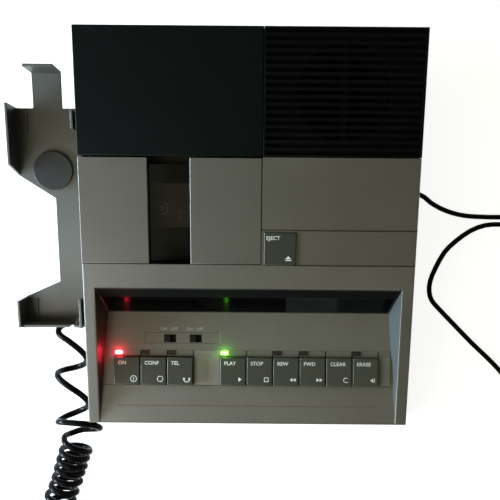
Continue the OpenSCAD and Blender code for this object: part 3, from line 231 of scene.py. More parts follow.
class Mat:
    """A material whose colour, gloss and bump come from procedural textures in the piece's own frame."""

    def __init__(self, name, **sockets):
        self.material = bpy.data.materials.new(name)
        self.material.use_nodes = True
        self.tree = self.material.node_tree
        self.shader = self.tree.nodes["Principled BSDF"]
        self.coords = self.add("ShaderNodeTexCoord").outputs["Object"]
        for key, value in sockets.items():
            self.shader.inputs[key.replace("_", " ")].default_value = value

    def add(self, kind, **values):
        made = self.tree.nodes.new(kind)
        for key, value in values.items():
            setattr(made, key, value)
        return made

    def link(self, out, into):
        self.tree.links.new(out, into)

    def noise(self, scale, detail=3.0, rough=0.55, stretch=(1, 1, 1)):
        place = self.add("ShaderNodeMapping")
        place.inputs["Scale"].default_value = stretch
        self.link(self.coords, place.inputs["Vector"])
        made = self.add("ShaderNodeTexNoise")
        self.link(place.outputs["Vector"], made.inputs["Vector"])
        made.inputs["Scale"].default_value = scale
        made.inputs["Detail"].default_value = detail
        made.inputs["Roughness"].default_value = rough
        return made.outputs["Fac"]

    def ramp(self, value, stops):
        made = self.add("ShaderNodeValToRGB")
        elements = made.color_ramp.elements
        while len(elements) < len(stops):
            elements.new(0.5)
        for element, (at, colour) in zip(elements, stops):
            element.position = at
            element.color = (*colour, 1)
        self.link(value, made.inputs["Fac"])
        return made.outputs["Color"]

    def mix(self, factor, a, b, blend="MIX"):
        made = self.add("ShaderNodeMix", data_type="RGBA", blend_type=blend)
        for value, key in ((factor, 0), (a, 6), (b, 7)):
            if isinstance(value, bpy.types.NodeSocket):
                self.link(value, made.inputs[key])
            else:
                made.inputs[key].default_value = value if key == 0 else (*value, 1)
        return made.outputs[2]

    def math(self, operation, a, b=0.0):
        made = self.add("ShaderNodeMath", operation=operation)
        for value, key in ((a, 0), (b, 1)):
            if isinstance(value, bpy.types.NodeSocket):
                self.link(value, made.inputs[key])
            else:
                made.inputs[key].default_value = value
        return made.outputs[0]

    def spread(self, value, start, end, low, high):
        """Goes from low to high as the value goes from start to end, and no further."""
        made = self.add("ShaderNodeMapRange")
        self.link(value, made.inputs["Value"])
        for socket, at in (("From Min", start), ("From Max", end), ("To Min", low), ("To Max", high)):
            made.inputs[socket].default_value = at
        return made.outputs["Result"]

    def range(self, value, low, high):
        return self.spread(value, 0.0, 1.0, low, high)

    def bump(self, height, strength, depth):
        made = self.add("ShaderNodeBump")
        made.inputs["Strength"].default_value = strength
        made.inputs["Distance"].default_value = depth
        self.link(height, made.inputs["Height"])
        self.link(made.outputs["Normal"], self.shader.inputs["Normal"])

    def to(self, socket, out):
        self.link(out, self.shader.inputs[socket])


def tint(colour, factor):
    return tuple(c * factor for c in colour)


# Dust specks' colour; the dark that paints shade, also the window strip's black insert; the gain of painted light
DUST, DARK_OF_SHADE_AND_INSERT = lin(150, 148, 142), lin(9, 9, 9)
PAINTED_LIGHT_GAIN, DULL_SHINE, GRAIN_DEPTH = (1.95, 1.95, 1.95), 0.18, 0.00012


def moulded(
    name, colour, rough, spread=0.08, grain=1500, strength=0.25, dust_share=0.12,
    shade=None, pale=None, dull=None, light_and_shade=None, **sockets,
):
    """Moulded plastic with fine grain, a broad faint shade and a few dust specks.

    The masks shade and pale paint shade and light into its colour, dark or paler; dull says where it is less shiny;
    the last mask multiplies its colour by painted light and shade.
    """
    m = Mat(name, **sockets)
    broad = m.noise(26, 4)
    fine = m.noise(grain, 2, 0.6)
    specks = m.noise(700, 1)
    colour_out = m.ramp(broad, [(0.3, tint(colour, 1 - spread)), (0.7, tint(colour, 1 + spread))])
    colour_out = m.mix(m.range(fine, 0.0, 0.5), colour_out, tint(colour, 1 - 1.6 * spread))
    dust = m.ramp(specks, [(0.74, (0, 0, 0)), (0.8, (1, 1, 1))])
    colour_out = m.mix(m.math("MULTIPLY", dust, dust_share), colour_out, DUST)
    # Painted light, painted light and shade, and painted shade, where the masks say
    if pale:
        colour_out = m.mix(pale(m), colour_out, PAINTED_LIGHT_GAIN, "MULTIPLY")
    if light_and_shade:
        colour_out = m.mix(1.0, colour_out, light_and_shade(m), "MULTIPLY")
    if shade:
        colour_out = m.mix(shade(m), colour_out, DARK_OF_SHADE_AND_INSERT)
    if dull:
        shine = m.shader.inputs["Specular IOR Level"].default_value
        m.to("Specular IOR Level", m.range(dull(m), shine, DULL_SHINE))
    m.to("Base Color", colour_out)
    m.to("Roughness", m.range(m.noise(60, 3), rough - 0.06, rough + 0.06))
    m.bump(fine, strength, GRAIN_DEPTH)
    return m.material


def metal(name, colour, rough, stretch=(1, 1, 1), scale=400):
    """Plated or turned metal with fine brushing and small stains."""
    m = Mat(name, Metallic=1.0)
    brushed = m.noise(scale, 4, 0.6, stretch)
    stains = m.noise(60, 4)
    m.to("Base Color", m.ramp(stains, [(0.3, tint(colour, 0.8)), (0.7, colour)]))
    m.to("Roughness", m.range(brushed, rough - 0.1, rough + 0.12))
    m.bump(brushed, 0.12, 0.00005)
    return m.material


def rubbery(name, colour, rough, shine=0.35):
    """Rubber or cable jacket with a soft bloom."""
    m = Mat(name, Specular_IOR_Level=shine)
    bloom = m.noise(90, 5)
    fine = m.noise(2200, 2)
    m.to("Base Color", m.ramp(bloom, [(0.35, colour), (0.75, tint(colour, 1.7))]))
    m.to("Roughness", m.range(bloom, rough - 0.08, rough + 0.1))
    m.bump(fine, 0.15, 0.00008)
    return m.material


# Masks, most of them for painted light and shade: 1 where a surface's place, in metres, and the way that it faces, as
# a share of 1, lie in the given bounds
JOINT_DEPTH, DOOR_JOINT_DEPTH = -0.0008, -0.00085
BAY_SIDE, BAY_FRONT = 0.0905, -0.0172
FACE_SIDE, FACE_Y, FACE_LEAN = 0.0885, (-0.0445, -0.0283), -0.45
FLOOR_Z, FLOOR_SHARE, LEVEL = (0.019, 0.0206), 0.32, 0.99
RAIL_FADE, RAIL_REAR, RAIL_SHARE, RAIL_LEVEL = (-0.045, -0.0284), -0.0157, 0.18, 0.95
PLATE_X, PLATE_Y = (-0.0313, -0.0166), (-0.0855, -0.0655)
PLATE_LIGHT_X, PLATE_FADE, ROW_Y = (-0.0314, -0.0166), (-0.0275, -0.0205), (-0.0851, -0.0690)
STRIP_X, STRIP_Z = (0.0757, 0.0824), (0.0195, 0.0205)
LEFT_WALL_X, LEFT_WALL_Z = (-0.0865, -0.079), (0.0198, 0.04)
RIGHT_WALL_X, RIGHT_WALL_LEAN = (0.076, 0.0862), -0.93
RIGHT_EDGE_X, RIGHT_EDGE_LEAN = (0.08, 0.0875), -0.3
KEYS_X, KEYS_LIGHT_AND_SHADE = (-0.078, 0.078), (0.76, 1.34)
SIDEWAYS = 0.6
PLAIN = (1.0, 1.0, 1.0)


def above(m, value, low):
    return m.math("GREATER_THAN", value, low)


def below(m, value, high):
    return m.math("LESS_THAN", value, high)


def all_of(m, mask, *others):
    for other in others:
        mask = m.math("MULTIPLY", mask, other)
    return mask


def between(m, value, low, high):
    return all_of(m, above(m, value, low), below(m, value, high))


def split(m, vector):
    made = m.add("ShaderNodeSeparateXYZ")
    m.link(vector, made.inputs["Vector"])
    return [made.outputs[way] for way in "XYZ"]


def place_of(m):
    return split(m, m.coords)


def facing_of(m):
    return split(m, m.coords.node.outputs["Normal"])


def over_top(m, y, z):
    """How far a point stands above the sloped top, in metres."""
    rise = m.math("MULTIPLY", m.math("SUBTRACT", z, TOP_0 * MM), COS)
    return m.math("SUBTRACT", rise, m.math("MULTIPLY", y, SIN))


def door_insert_and_shade(m):
    """The window strip's walls are dark as a black insert, and the door's inner edges are dark as painted shade in
    the gaps.
    """
    x, y, z = place_of(m)
    return all_of(m, below(m, over_top(m, y, z), DOOR_JOINT_DEPTH), above(m, x, -BAY_SIDE))


def case_shade(m):
    """Painted shade: the cassette bay, the joints around the door and the well's sloped rear face are dark."""
    x, y, z = place_of(m)
    deep = below(m, over_top(m, y, z), JOINT_DEPTH)
    bay = all_of(m, deep, above(m, y, BAY_FRONT), between(m, x, -BAY_SIDE, BAY_SIDE))
    leans = below(m, facing_of(m)[1], FACE_LEAN)
    face = all_of(m, leans, between(m, y, *FACE_Y), between(m, x, -FACE_SIDE, FACE_SIDE))
    return m.math("MAXIMUM", bay, face)


def well_painted_light(m):
    """Painted light: the well's floor, the apron, the rail behind the well and, most of all, the blank plate are made
    paler.
    """
    x, y, z = place_of(m)
    up = facing_of(m)[2]
    plate = all_of(m, between(m, x, *PLATE_X), between(m, y, *PLATE_Y))
    floor = all_of(m, between(m, z, *FLOOR_Z), above(m, up, LEVEL), m.range(plate, FLOOR_SHARE, 1.0))
    fade = m.spread(y, *RAIL_FADE, 0.0, RAIL_SHARE)
    rail = all_of(m, fade, below(m, y, RAIL_REAR), between(m, up, RAIL_LEVEL, LEVEL))
    return m.math("ADD", floor, rail)


def left_wall(m):
    """The well's left wall."""
    x, _, z = place_of(m)
    sideways = above(m, facing_of(m)[0], SIDEWAYS)
    return all_of(m, between(m, x, *LEFT_WALL_X), between(m, z, *LEFT_WALL_Z), sideways)


def well_light_and_shade(m):
    """Painted shade and light: the well's walls are darker, the right one's edge is paler as a painted highlight, and
    the blank plate and the strip by the last key are paler where a key's shadow falls.
    """
    x, y, z = place_of(m)
    across = facing_of(m)[0]
    row = between(m, y, *ROW_Y)
    plate = all_of(m, between(m, x, *PLATE_LIGHT_X), row, m.spread(x, *PLATE_FADE, 1.0, 0.0))
    wall = all_of(m, below(m, across, RIGHT_WALL_LEAN), between(m, x, *RIGHT_WALL_X))
    edge = all_of(m, between(m, across, RIGHT_WALL_LEAN, RIGHT_EDGE_LEAN), between(m, x, *RIGHT_EDGE_X))
    strip = all_of(m, between(m, x, *STRIP_X), row, between(m, z, *STRIP_Z))
    out = m.mix(left_wall(m), PLAIN, (0.6, 0.6, 0.6))
    out = m.mix(plate, out, (1.3, 1.45, 1.8))
    out = m.mix(wall, out, (0.44, 0.53, 0.62))
    out = m.mix(edge, out, (2.7, 2.9, 3.0))
    return m.mix(strip, out, (1.5, 1.85, 2.3))


def key_light_and_shade(m):
    """Painted light and shade: keys on the right are a little paler than those on the left, evening out the fall-off
    of the light from the left.
    """
    return m.spread(place_of(m)[0], *KEYS_X, *KEYS_LIGHT_AND_SHADE)


def cradle_painted_shade(m):
    """Painted shade: the inner faces of the cradle's left walls and of its rear hook are darker."""
    across, along, _ = facing_of(m)
    inner = m.math("MAXIMUM", above(m, across, SIDEWAYS), below(m, along, -SIDEWAYS))
    return m.mix(inner, PLAIN, (0.4, 0.4, 0.38))


BODY = lin(96, 92, 82)
GREY = moulded("grey_plastic", BODY, 0.5, Specular_IOR_Level=0.35)
CASE_GREY = moulded(
    "case_plastic", BODY, 0.34, shade=case_shade, pale=well_painted_light, dull=left_wall, light_and_shade=well_light_and_shade,
    Specular_IOR_Level=0.45,
)
DOOR_GREY = moulded("door_plastic", BODY, 0.34, shade=door_insert_and_shade, Specular_IOR_Level=0.45)
GREY_DARK = moulded("base_plastic", lin(76, 77, 73), 0.55, Specular_IOR_Level=0.3)
BLACK = moulded("black_plastic", lin(9, 14, 14), 0.4, 0.12, dust_share=0.02, Specular_IOR_Level=0.1)
TRIM = moulded("trim_plastic", lin(22, 23, 24), 0.42, 0.12, dust_share=0.03, Specular_IOR_Level=0.35)
GRILLE = moulded("grille_plastic", lin(9, 12, 11), 0.45, 0.12, dust_share=0.02, Specular_IOR_Level=0.06)
KEY = moulded("key_plastic", lin(65, 65, 55), 0.3, 0.06, light_and_shade=key_light_and_shade, Specular_IOR_Level=0.5)
EJECT = moulded("eject_plastic", lin(60, 61, 53), 0.3, 0.06, Specular_IOR_Level=0.5)
SHEET = moulded("cradle_paint", lin(84, 83, 76), 0.4, 0.12, 900, 0.35, light_and_shade=cradle_painted_shade, Specular_IOR_Level=0.45)
DISC = moulded("disc_plastic", lin(38, 38, 35), 0.45, 0.15, Specular_IOR_Level=0.3)
KNOB = moulded("knob_plastic", lin(18, 19, 16), 0.45, 0.15, Specular_IOR_Level=0.2)
CASSETTE = moulded("cassette_plastic", lin(128, 119, 101), 0.45, 0.15)
PALE = moulded("pale_plastic", lin(196, 194, 186), 0.4, 0.05)
BASKET = moulded("basket_paint", lin(6, 7, 7), 0.7, 0.2, dust_share=0.0, Specular_IOR_Level=0.05)
CONE = moulded("cone_paper", lin(22, 22, 21), 0.85, 0.25, 500, 0.6, 0.02, Specular_IOR_Level=0.1)
RUBBER = rubbery("foot_rubber", lin(26, 26, 27), 0.75)
CORD = rubbery("cord_jacket", lin(9, 8, 7), 0.18, 0.04)
STEEL = metal("plated_steel", (0.56, 0.57, 0.58), 0.32)
BRUSHED = metal("brushed_steel", (0.1, 0.1, 0.095), 0.42, (1, 14, 14), 160)
# Painted shade: the tape head's steel and the dark steel are made very dark, as the head carriage and tape head lie
# in shade in the bay under the cassette
HEAD_STEEL = metal("head_steel", (0.06, 0.06, 0.06), 0.35)
BRASS = metal("turned_brass", (0.62, 0.46, 0.2), 0.3)
DARK_STEEL = metal("blackened_steel", (0.05, 0.05, 0.05), 0.45)


def board_material():
    """Circuit board: solder mask with tracks under it."""
    m = Mat("circuit_board", Roughness=0.4)
    tracks = m.add("ShaderNodeTexVoronoi", feature="DISTANCE_TO_EDGE", distance="MANHATTAN")
    m.link(m.coords, tracks.inputs["Vector"])
    tracks.inputs["Scale"].default_value = 180
    lines = m.ramp(tracks.outputs["Distance"], [(0.05, lin(70, 120, 80)), (0.09, lin(38, 84, 52))])
    m.to("Base Color", m.mix(m.noise(40), lines, lin(30, 70, 44)))
    m.bump(tracks.outputs["Distance"], 0.2, 0.0001)
    return m.material


LENS_SIZE = (0.003, 0.0018, 0.0022)
LENS_CORE, LENS_RIM = 0.6, 0.95


def lamp_point(slot, rise=0.0):
    """The middle of the lamp at a key's place, or a point above it, in metres."""
    return Vector((ROW_X + slot * KEY_PITCH + LAMP_X, LAMP_Y, LAMP_Z + rise)) * MM


def lamp_material(name, slot, core, glow, strength):
    """A lit lens: a bright core that falls off to its rim."""
    m = Mat(name, Roughness=0.25, Emission_Strength=strength)
    place = m.add("ShaderNodeMapping", vector_type="TEXTURE")
    place.inputs["Location"].default_value = lamp_point(slot)
    place.inputs["Scale"].default_value = LENS_SIZE
    m.link(m.coords, place.inputs["Vector"])
    far = m.add("ShaderNodeVectorMath", operation="LENGTH")
    m.link(place.outputs["Vector"], far.inputs[0])
    fall = m.math("ADD", far.outputs["Value"], m.range(m.noise(900, 2), -0.12, 0.12))
    for socket in ("Base Color", "Emission Color"):
        m.to(socket, m.ramp(fall, [(LENS_CORE, core), (LENS_RIM, glow)]))
    return m.material


def lens_material(name, colour):
    """An unlit lens."""
    m = Mat(name, Roughness=0.22, Specular_IOR_Level=0.4)
    m.to("Base Color", m.ramp(m.noise(500), [(0.3, tint(colour, 0.7)), (0.7, tint(colour, 1.3))]))
    return m.material


PANEL_X, DIM_PANEL_X = (0.0215, 0.0505), (0.0505, 0.077)


def display_material():
    """Dark polished window with a paler panel behind part of it and a dim one beside that."""
    m = Mat("display_window_dark", Roughness=0.08, Specular_IOR_Level=0.03)
    x = place_of(m)[0]
    smear = m.noise(70, 4)
    dark = m.ramp(smear, [(0.3, lin(2, 2, 2)), (0.7, lin(6, 6, 6))])
    pale = m.ramp(smear, [(0.3, lin(24, 28, 25)), (0.7, lin(32, 36, 32))])
    dim = m.ramp(smear, [(0.3, lin(14, 15, 14)), (0.7, lin(20, 22, 20))])
    colour = m.mix(between(m, x, *PANEL_X), dark, pale)
    m.to("Base Color", m.mix(between(m, x, *DIM_PANEL_X), colour, dim))
    m.to("Roughness", m.range(smear, 0.06, 0.2))
    return m.material


PANE_LIGHT_X, PANE_PAINTED_LIGHT = (-0.0548, -0.042), (0.013, 0.013, 0.011)


def pane_material():
    """Smoked window pane with faint smears, and a very faint emission at its left end that paints light into the
    shadow there.
    """
    m = Mat("smoked_pane", Roughness=0.12, Specular_IOR_Level=0.2, Alpha=0.42, Emission_Strength=1.0)
    smear = m.noise(50, 5)
    m.to("Base Color", m.ramp(smear, [(0.3, lin(31, 32, 28)), (0.7, lin(39, 40, 35))]))
    m.to("Roughness", m.range(smear, 0.08, 0.24))
    across = m.spread(place_of(m)[0], *PANE_LIGHT_X, 0.0, 1.0)
    m.to("Emission Color", m.ramp(across, [(0.0, PANE_PAINTED_LIGHT), (1.0, (0, 0, 0))]))
    return m.material


def ink_material(name, colour, shine=0.2):
    """Printed ink, slightly worn; also used for painted shade, painted shadow lines and a painted highlight."""
    m = Mat(name, Roughness=0.6, Specular_IOR_Level=shine)
    wear = m.noise(1800, 3)
    m.to("Base Color", m.ramp(wear, [(0.3, tint(colour, 0.72)), (0.55, colour)]))
    return m.material


BOARD = board_material()
LAMP_RED = lamp_material("lamp_red", 0, lin(255, 225, 228), lin(255, 24, 60), 1.6)
LAMP_GREEN = lamp_material("lamp_green", 4, lin(225, 255, 150), lin(80, 235, 10), 1.4)
LENS_DARK = lens_material("lamp_unlit", lin(52, 47, 43))
DISPLAY = display_material()
PANE = pane_material()
WHITE_INK = ink_material("white_ink", lin(236, 236, 230))
DIM_INK_AND_HIGHLIGHT = ink_material("dim_ink", lin(172, 172, 166))
RED_INK = ink_material("red_ink", lin(104, 62, 58))
SHADE_INK = ink_material("dark_recess", lin(10, 10, 10), 0.08)
FACE_SHADE_INK = ink_material("bezel_black", lin(9, 11, 9), 0.06)
SHADOW_LINE_INK = ink_material("seam_line", lin(48, 48, 44))


# Finish of the solids
WELD_REACH = 0.000002
FLAT_ANGLE, EDGE_ANGLE, SHARP_ANGLE = math.radians(0.6), math.radians(28), math.radians(35)
# The corners between which edges are rounded, and how near to one a point has to lie, in millimetres
CORNER_REACH = 0.2
CASE_CORNERS = [
    (side * x, y, z) for side in (-1, 1) for x, y, z in ((92, -108, 20), (85.5, -108, 20), (85.5, -28.6, 36.9))
] + [
    (-92, -15.3, 39.7), (92, -15.7, 39.6), (92, -14.9, 39.8), (92, 3.5, 43.7), (92, 4.3, 43.9), (92, 42.4, 52),
]
HOOD_CORNERS = [
    (-92, 108, 65.9), (7, 108, 65.9), (-92, 42.6, 52), (7, 42.6, 52),
    (92, 108, 61.8), (-92, 108, 15.8), (92, 108, 15.8),
]
GRILLE_CORNERS = [(x, y, z) for x in (7.1, 92) for y, z in ((108, 65.9), (42.6, 52))]


def corner_nodes():
    """A modifier's node group that keeps the shading of edges over the angle sharp."""
    tree = bpy.data.node_groups.new("sharp_corners", "GeometryNodeTree")
    for way in ("INPUT", "OUTPUT"):
        tree.interface.new_socket("Geometry", in_out=way, socket_type="NodeSocketGeometry")
    angle = tree.nodes.new("GeometryNodeInputMeshEdgeAngle")
    wide = tree.nodes.new("FunctionNodeCompare")
    wide.operation = "GREATER_THAN"
    wide.inputs[1].default_value = SHARP_ANGLE
    mark = tree.nodes.new("GeometryNodeSetShadeSmooth")
    mark.domain = "EDGE"
    mark.inputs["Shade Smooth"].default_value = False
    tree.links.new(angle.outputs["Unsigned Angle"], wide.inputs[0])
    tree.links.new(wide.outputs["Result"], mark.inputs["Selection"])
    tree.links.new(tree.nodes.new("NodeGroupInput").outputs[0], mark.inputs["Geometry"])
    tree.links.new(mark.outputs["Geometry"], tree.nodes.new("NodeGroupOutput").inputs[0])
    return tree


SHARP = corner_nodes()


def near(corners):
    """Picks the points at the given corners."""
    return lambda p: any((p - Vector(c)).length < CORNER_REACH for c in corners)


def over_slope(low):
    """Picks the points that stand higher than low above the sloped top."""
    return lambda p: (p.z - TOP_0) * COS - p.y * SIN > low


def dress(node, material, bevel=0.0, segments=2, rounded=None, whole=False):
    """Gives a solid its material and rounds its edges: all of them, or those between the points that rounded picks.

    With whole, the rounding isn't held back where edges lie close together.
    """
    obj = nodes[node]
    obj.data.materials.clear()
    obj.data.materials.append(material)
    for face in obj.data.polygons:
        face.use_smooth = True
        face.material_index = 0
    weld = obj.modifiers.new("weld", "WELD")
    weld.merge_threshold = WELD_REACH
    if bevel:
        flat = obj.modifiers.new("flat", "DECIMATE")
        flat.decimate_type = "DISSOLVE"
        flat.angle_limit = FLAT_ANGLE
        edge = obj.modifiers.new("edge", "BEVEL")
        edge.width = bevel * MM
        edge.segments = segments
        edge.limit_method = "ANGLE"
        edge.angle_limit = EDGE_ANGLE
        edge.use_clamp_overlap = not (rounded or whole)
        if rounded:
            picked = [v.index for v in obj.data.vertices if rounded(v.co / MM)]
            obj.vertex_groups.new(name="rounded").add(picked, 1.0, "REPLACE")
            edge.limit_method = "VGROUP"
            edge.vertex_group = "rounded"
    obj.modifiers.new("sharp", "NODES").node_group = SHARP
    normals = obj.modifiers.new("normals", "WEIGHTED_NORMAL")
    normals.keep_sharp = True
    normals.weight = 80


KEYS = [
    "key_power", "key_conference", "key_phone", None, "key_play", "key_stop", "key_rewind", "key_forward",
    "key_clear", "key_erase",
]
dress("base_pan", GREY_DARK, 0.6)
dress("top_case", CASE_GREY, 0.9, 4, near(CASE_CORNERS))
dress("rear_hood", BLACK, 0.6, 3, near(HOOD_CORNERS))
dress("speaker_grille", GRILLE, 0.5, 3, near(GRILLE_CORNERS))
dress("cassette_door", DOOR_GREY, 0.45, 3, over_slope(-0.1))
dress("door_window", PANE)
dress("eject_key", EJECT, 0.5, 3, over_slope(0.3))
for key in KEYS:
    if key:
        dress(key, KEY, 0.6, 3, lambda p: p.z > KEY_TOP - 0.3)
for n in ("left_switch", "right_switch"):
    dress(n, KNOB, 0.25)
dress("key_board", BOARD)
dress("main_board", BOARD, 0.2)
dress("key_domes", PALE, 0.5)
dress("led_power", LAMP_RED, 0.2)
dress("led_play", LAMP_GREEN, 0.2)
dress("leds_unlit", LENS_DARK, 0.2)
dress("display_window", DISPLAY, 0.15)
dress("display_module", DISC, 0.3)
for n in ("case_screws", "cradle_screws", "motor", "flywheel"):
    dress(n, STEEL, 0.15)
for n in ("switch_bodies", "head_carriage", "hinge_pin"):
    dress(n, DARK_STEEL, 0.15)
dress("speaker_basket", BASKET, 0.15)
dress("tape_head", HEAD_STEEL, 0.3)
dress("deck_plate", BRUSHED, 0.15)
dress("speaker_cone", CONE)
dress("motor_pulley", BRASS, 0.1)
dress("drive_belt", RUBBER, 0.15)
dress("pinch_roller", RUBBER, 0.2)
for n in ("take_up_spindle", "supply_spindle", "take_up_reel", "supply_reel"):
    dress(n, PALE, 0.15)
dress("cassette_shell", CASSETTE, 0.3)
dress("feet", RUBBER, 0.4)
dress("mic_cradle", SHEET, 0.3, 3, whole=True)
dress("cradle_disc", DISC, 0.4, 3)
dress("wall_jacks", TRIM, 0.25)
for n in ("mic_plug", "power_plug", "coil_tie"):
    dress(n, CORD, 0.3)
dress("mic_back", TRIM, 0.5, 3)
dress("mic_front", GREY, 0.4, 3)
dress("mic_slide", KEY, 0.5, 3)
dress("adapter_case", TRIM, 0.8, 3)
dress("adapter_blades", BRASS, 0.25)
for cord in (mic_cord, power_cord):
    cord.data.materials.append(CORD)


# Printed legends, and painted shade, shadow lines and a highlight, in millimetres: each body's ink of one colour is
# one thin mesh that lies on its surface
LIFT, WORD_BOLD = 0.04, 0.012
ink = {}


def ink_of(body, material):
    """The mesh that holds a body's ink of one colour."""
    key = body, material.name
    if key not in ink:
        ink[key] = bmesh.new()
    return ink[key]


class Plane:
    """A place on a surface to print on: an origin and two directions, lifted off the surface a little."""

    def __init__(self, body, origin, across=(1, 0, 0), up=(0, 1, 0)):
        self.body = body
        self.across, self.up = Vector(across).normalized(), Vector(up).normalized()
        self.origin = Vector(origin) + self.across.cross(self.up) * LIFT

    def point(self, x, y):
        return (self.origin + self.across * x + self.up * y) * MM

    def shape(self, material, corners):
        """Adds one flat outline to the body's ink."""
        mesh = ink_of(self.body, material)
        mesh.faces.new([mesh.verts.new(self.point(x, y)) for x, y in corners])

    def bar(self, material, x, y, w, h):
        self.shape(material, [(x, y), (x + w, y), (x + w, y + h), (x, y + h)])

    def frame(self, material, x, y, w, h, t):
        for part in ((x, y, w, t), (x, y + h - t, w, t), (x, y + t, t, h - 2 * t), (x + w - t, y + t, t, h - 2 * t)):
            self.bar(material, *part)

    def ring(self, material, x, y, r, t, start=0, end=360, steps=28):
        angles = [math.radians(start + (end - start) * i / steps) for i in range(steps + 1)]
        for a, b in zip(angles, angles[1:]):
            self.shape(material, [
                (x + q * math.cos(c), y + q * math.sin(c)) for q, c in ((r, a), (r, b), (r - t, b), (r - t, a))
            ])

    def text(self, material, words, x, y, size):
        data = bpy.data.curves.new("words", "FONT")
        data.body = words
        data.size = size
        data.resolution_u = 3
        data.offset = WORD_BOLD * size
        holder = bpy.data.objects.new("words", data)
        scene.collection.objects.link(holder)
        flat = bpy.data.meshes.new_from_object(holder.evaluated_get(bpy.context.evaluated_depsgraph_get()))
        turn = Matrix((self.across, self.up, self.across.cross(self.up))).transposed().to_4x4()
        flat.transform(Matrix.Translation(self.point(x, y)) @ turn @ Matrix.Scale(MM, 4))
        ink_of(self.body, material).from_mesh(flat)
        bpy.data.objects.remove(holder)
        bpy.data.meshes.remove(flat)


def triangle(plane, material, x, y, s, way):
    """A triangle that points right (way 1) or left (way -1)."""
    plane.shape(material, [(x, y - s), (x + way * 1.5 * s, y), (x, y + s)][:: way])


LEGENDS = {
    "key_power": "ON", "key_conference": "CONF", "key_phone": "TEL", "key_play": "PLAY", "key_stop": "STOP",
    "key_rewind": "REW", "key_forward": "FWD", "key_clear": "CLEAR", "key_erase": "ERASE",
}
WORD_X, WORD_Y, WORD_SIZE = 2.3, 11.8, 3.0
SYMBOL_X, SYMBOL_Y = 11.4, 3.6
KEY_GAP = 0.5
for slot, key in enumerate(KEYS):
    if not key:
        continue
    p = Plane(key, (ROW_X + slot * KEY_PITCH + KEY_GAP / 2, KEY_FRONT, KEY_TOP))
    p.text(WHITE_INK, LEGENDS[key], WORD_X, WORD_Y, WORD_SIZE)
    x, y = SYMBOL_X, SYMBOL_Y
    if key == "key_power":
        p.ring(WHITE_INK, x, y, 1.9, 0.35)
        p.bar(WHITE_INK, x - 0.18, y - 0.9, 0.36, 1.8)
    elif key == "key_conference":
        p.ring(WHITE_INK, x, y, 1.9, 0.35, steps=6)
    elif key == "key_phone":
        p.ring(WHITE_INK, x, y, 1.9, 0.5, 190, 350)
        p.bar(WHITE_INK, x - 2.1, y - 0.4, 1.1, 1.1)
        p.bar(WHITE_INK, x + 1.0, y - 0.4, 1.1, 1.1)
    elif key == "key_play":
        triangle(p, WHITE_INK, x - 0.8, y, 1.3, 1)
    elif key == "key_stop":
        p.frame(WHITE_INK, x - 1.3, y - 1.3, 2.6, 2.6, 0.4)
    elif key == "key_rewind":
        triangle(p, WHITE_INK, x - 0.1, y, 1.1, -1)
        triangle(p, WHITE_INK, x + 1.7, y, 1.1, -1)
    elif key == "key_forward":
        triangle(p, WHITE_INK, x - 1.7, y, 1.1, 1)
        triangle(p, WHITE_INK, x + 0.1, y, 1.1, 1)
    elif key == "key_clear":
        p.ring(WHITE_INK, x, y, 1.5, 0.4, 45, 315)
    else:
        triangle(p, WHITE_INK, x + 0.4, y, 1.2, -1)
        p.bar(WHITE_INK, x + 0.9, y - 1.3, 0.4, 2.6)

EJECT_SIDE, EJECT_RISE = 1.3, 0.5
p = Plane("eject_key", on_top(SEAM_X + EJECT_SIDE, DOOR_Y / COS, EJECT_RISE), up=(0, COS, SIN))
p.text(WHITE_INK, "EJECT", 1.1, 14.3, WORD_SIZE)
p.bar(WHITE_INK, 11.6, 2.6, 3.6, 0.5)
p.shape(WHITE_INK, [(11.6, 3.5), (15.2, 3.5), (13.4, 5.3)])

# The well's floor: painted shadow lines round the switches' frame and along the key row, a painted highlight at the
# frame's right end, painted shade in the gaps between lamps, the switches' words, the apron's thin line
SWITCHES_X, SWITCH_WORD_Y, SWITCH_WORD_SIZE = (-45.3, -30.4), -53.9, 2.4
LINE_PARTS, LINE_STEP = 30, 5
p = Plane("case", (0, 0, FRONT_H))
p.frame(SHADOW_LINE_INK, -60, -61.5, 43.4, 6.4, 0.2)
# A painted highlight along the right end of the switches' frame
p.bar(DIM_INK_AND_HIGHLIGHT, -16.5, -61.5, 0.3, 6.4)
for slot in (1, 2, 3, 5, 6, 7, 8, 9, 10):
    p.bar(SHADE_INK, ROW_X + slot * KEY_PITCH - KEY_GAP / 2, -68.9, KEY_GAP, 3.3)
p.bar(SHADOW_LINE_INK, -84, -85.85, 166.6, 0.3)
p.bar(SHADOW_LINE_INK, -79, -65.5, 161.6, 0.14)
p.bar(SHADOW_LINE_INK, 82.4, -85.55, 0.2, 20.05)
for x in SWITCHES_X:
    p.text(DIM_INK_AND_HIGHLIGHT, "ON", x - 5.6, SWITCH_WORD_Y, SWITCH_WORD_SIZE)
    p.text(DIM_INK_AND_HIGHLIGHT, "OFF", x + 0.2, SWITCH_WORD_Y, SWITCH_WORD_SIZE)
for i in range(LINE_PARTS):
    p.bar(RED_INK, -76 + i * LINE_STEP, -97.7, LINE_STEP, 0.36 - 0.006 * i)

# Painted shade on the upper band of the well's sloped rear face, above the display: a dark sheet of low gloss
face_shade = Plane("case", (0, -28.6, 36.9), up=(0, 14.8, 16.9))
face_shade.shape(FACE_SHADE_INK, [(-83.7, -7.6), (83.7, -7.6), (84.6, -1.2), (-84.6, -1.2)])

# The cassette's face: short marks, and a band of painted shade under the rear end of the window strip
cassette_face = Plane("case", on_top(0, 0, -11), up=(0, COS, SIN))
for i in range(4):
    cassette_face.bar(DIM_INK_AND_HIGHLIGHT, -40.2, 12.2 - i * 1.5, 2.6, 0.5)
cassette_face.bar(SHADE_INK, -62, 28, 45.5, 8)

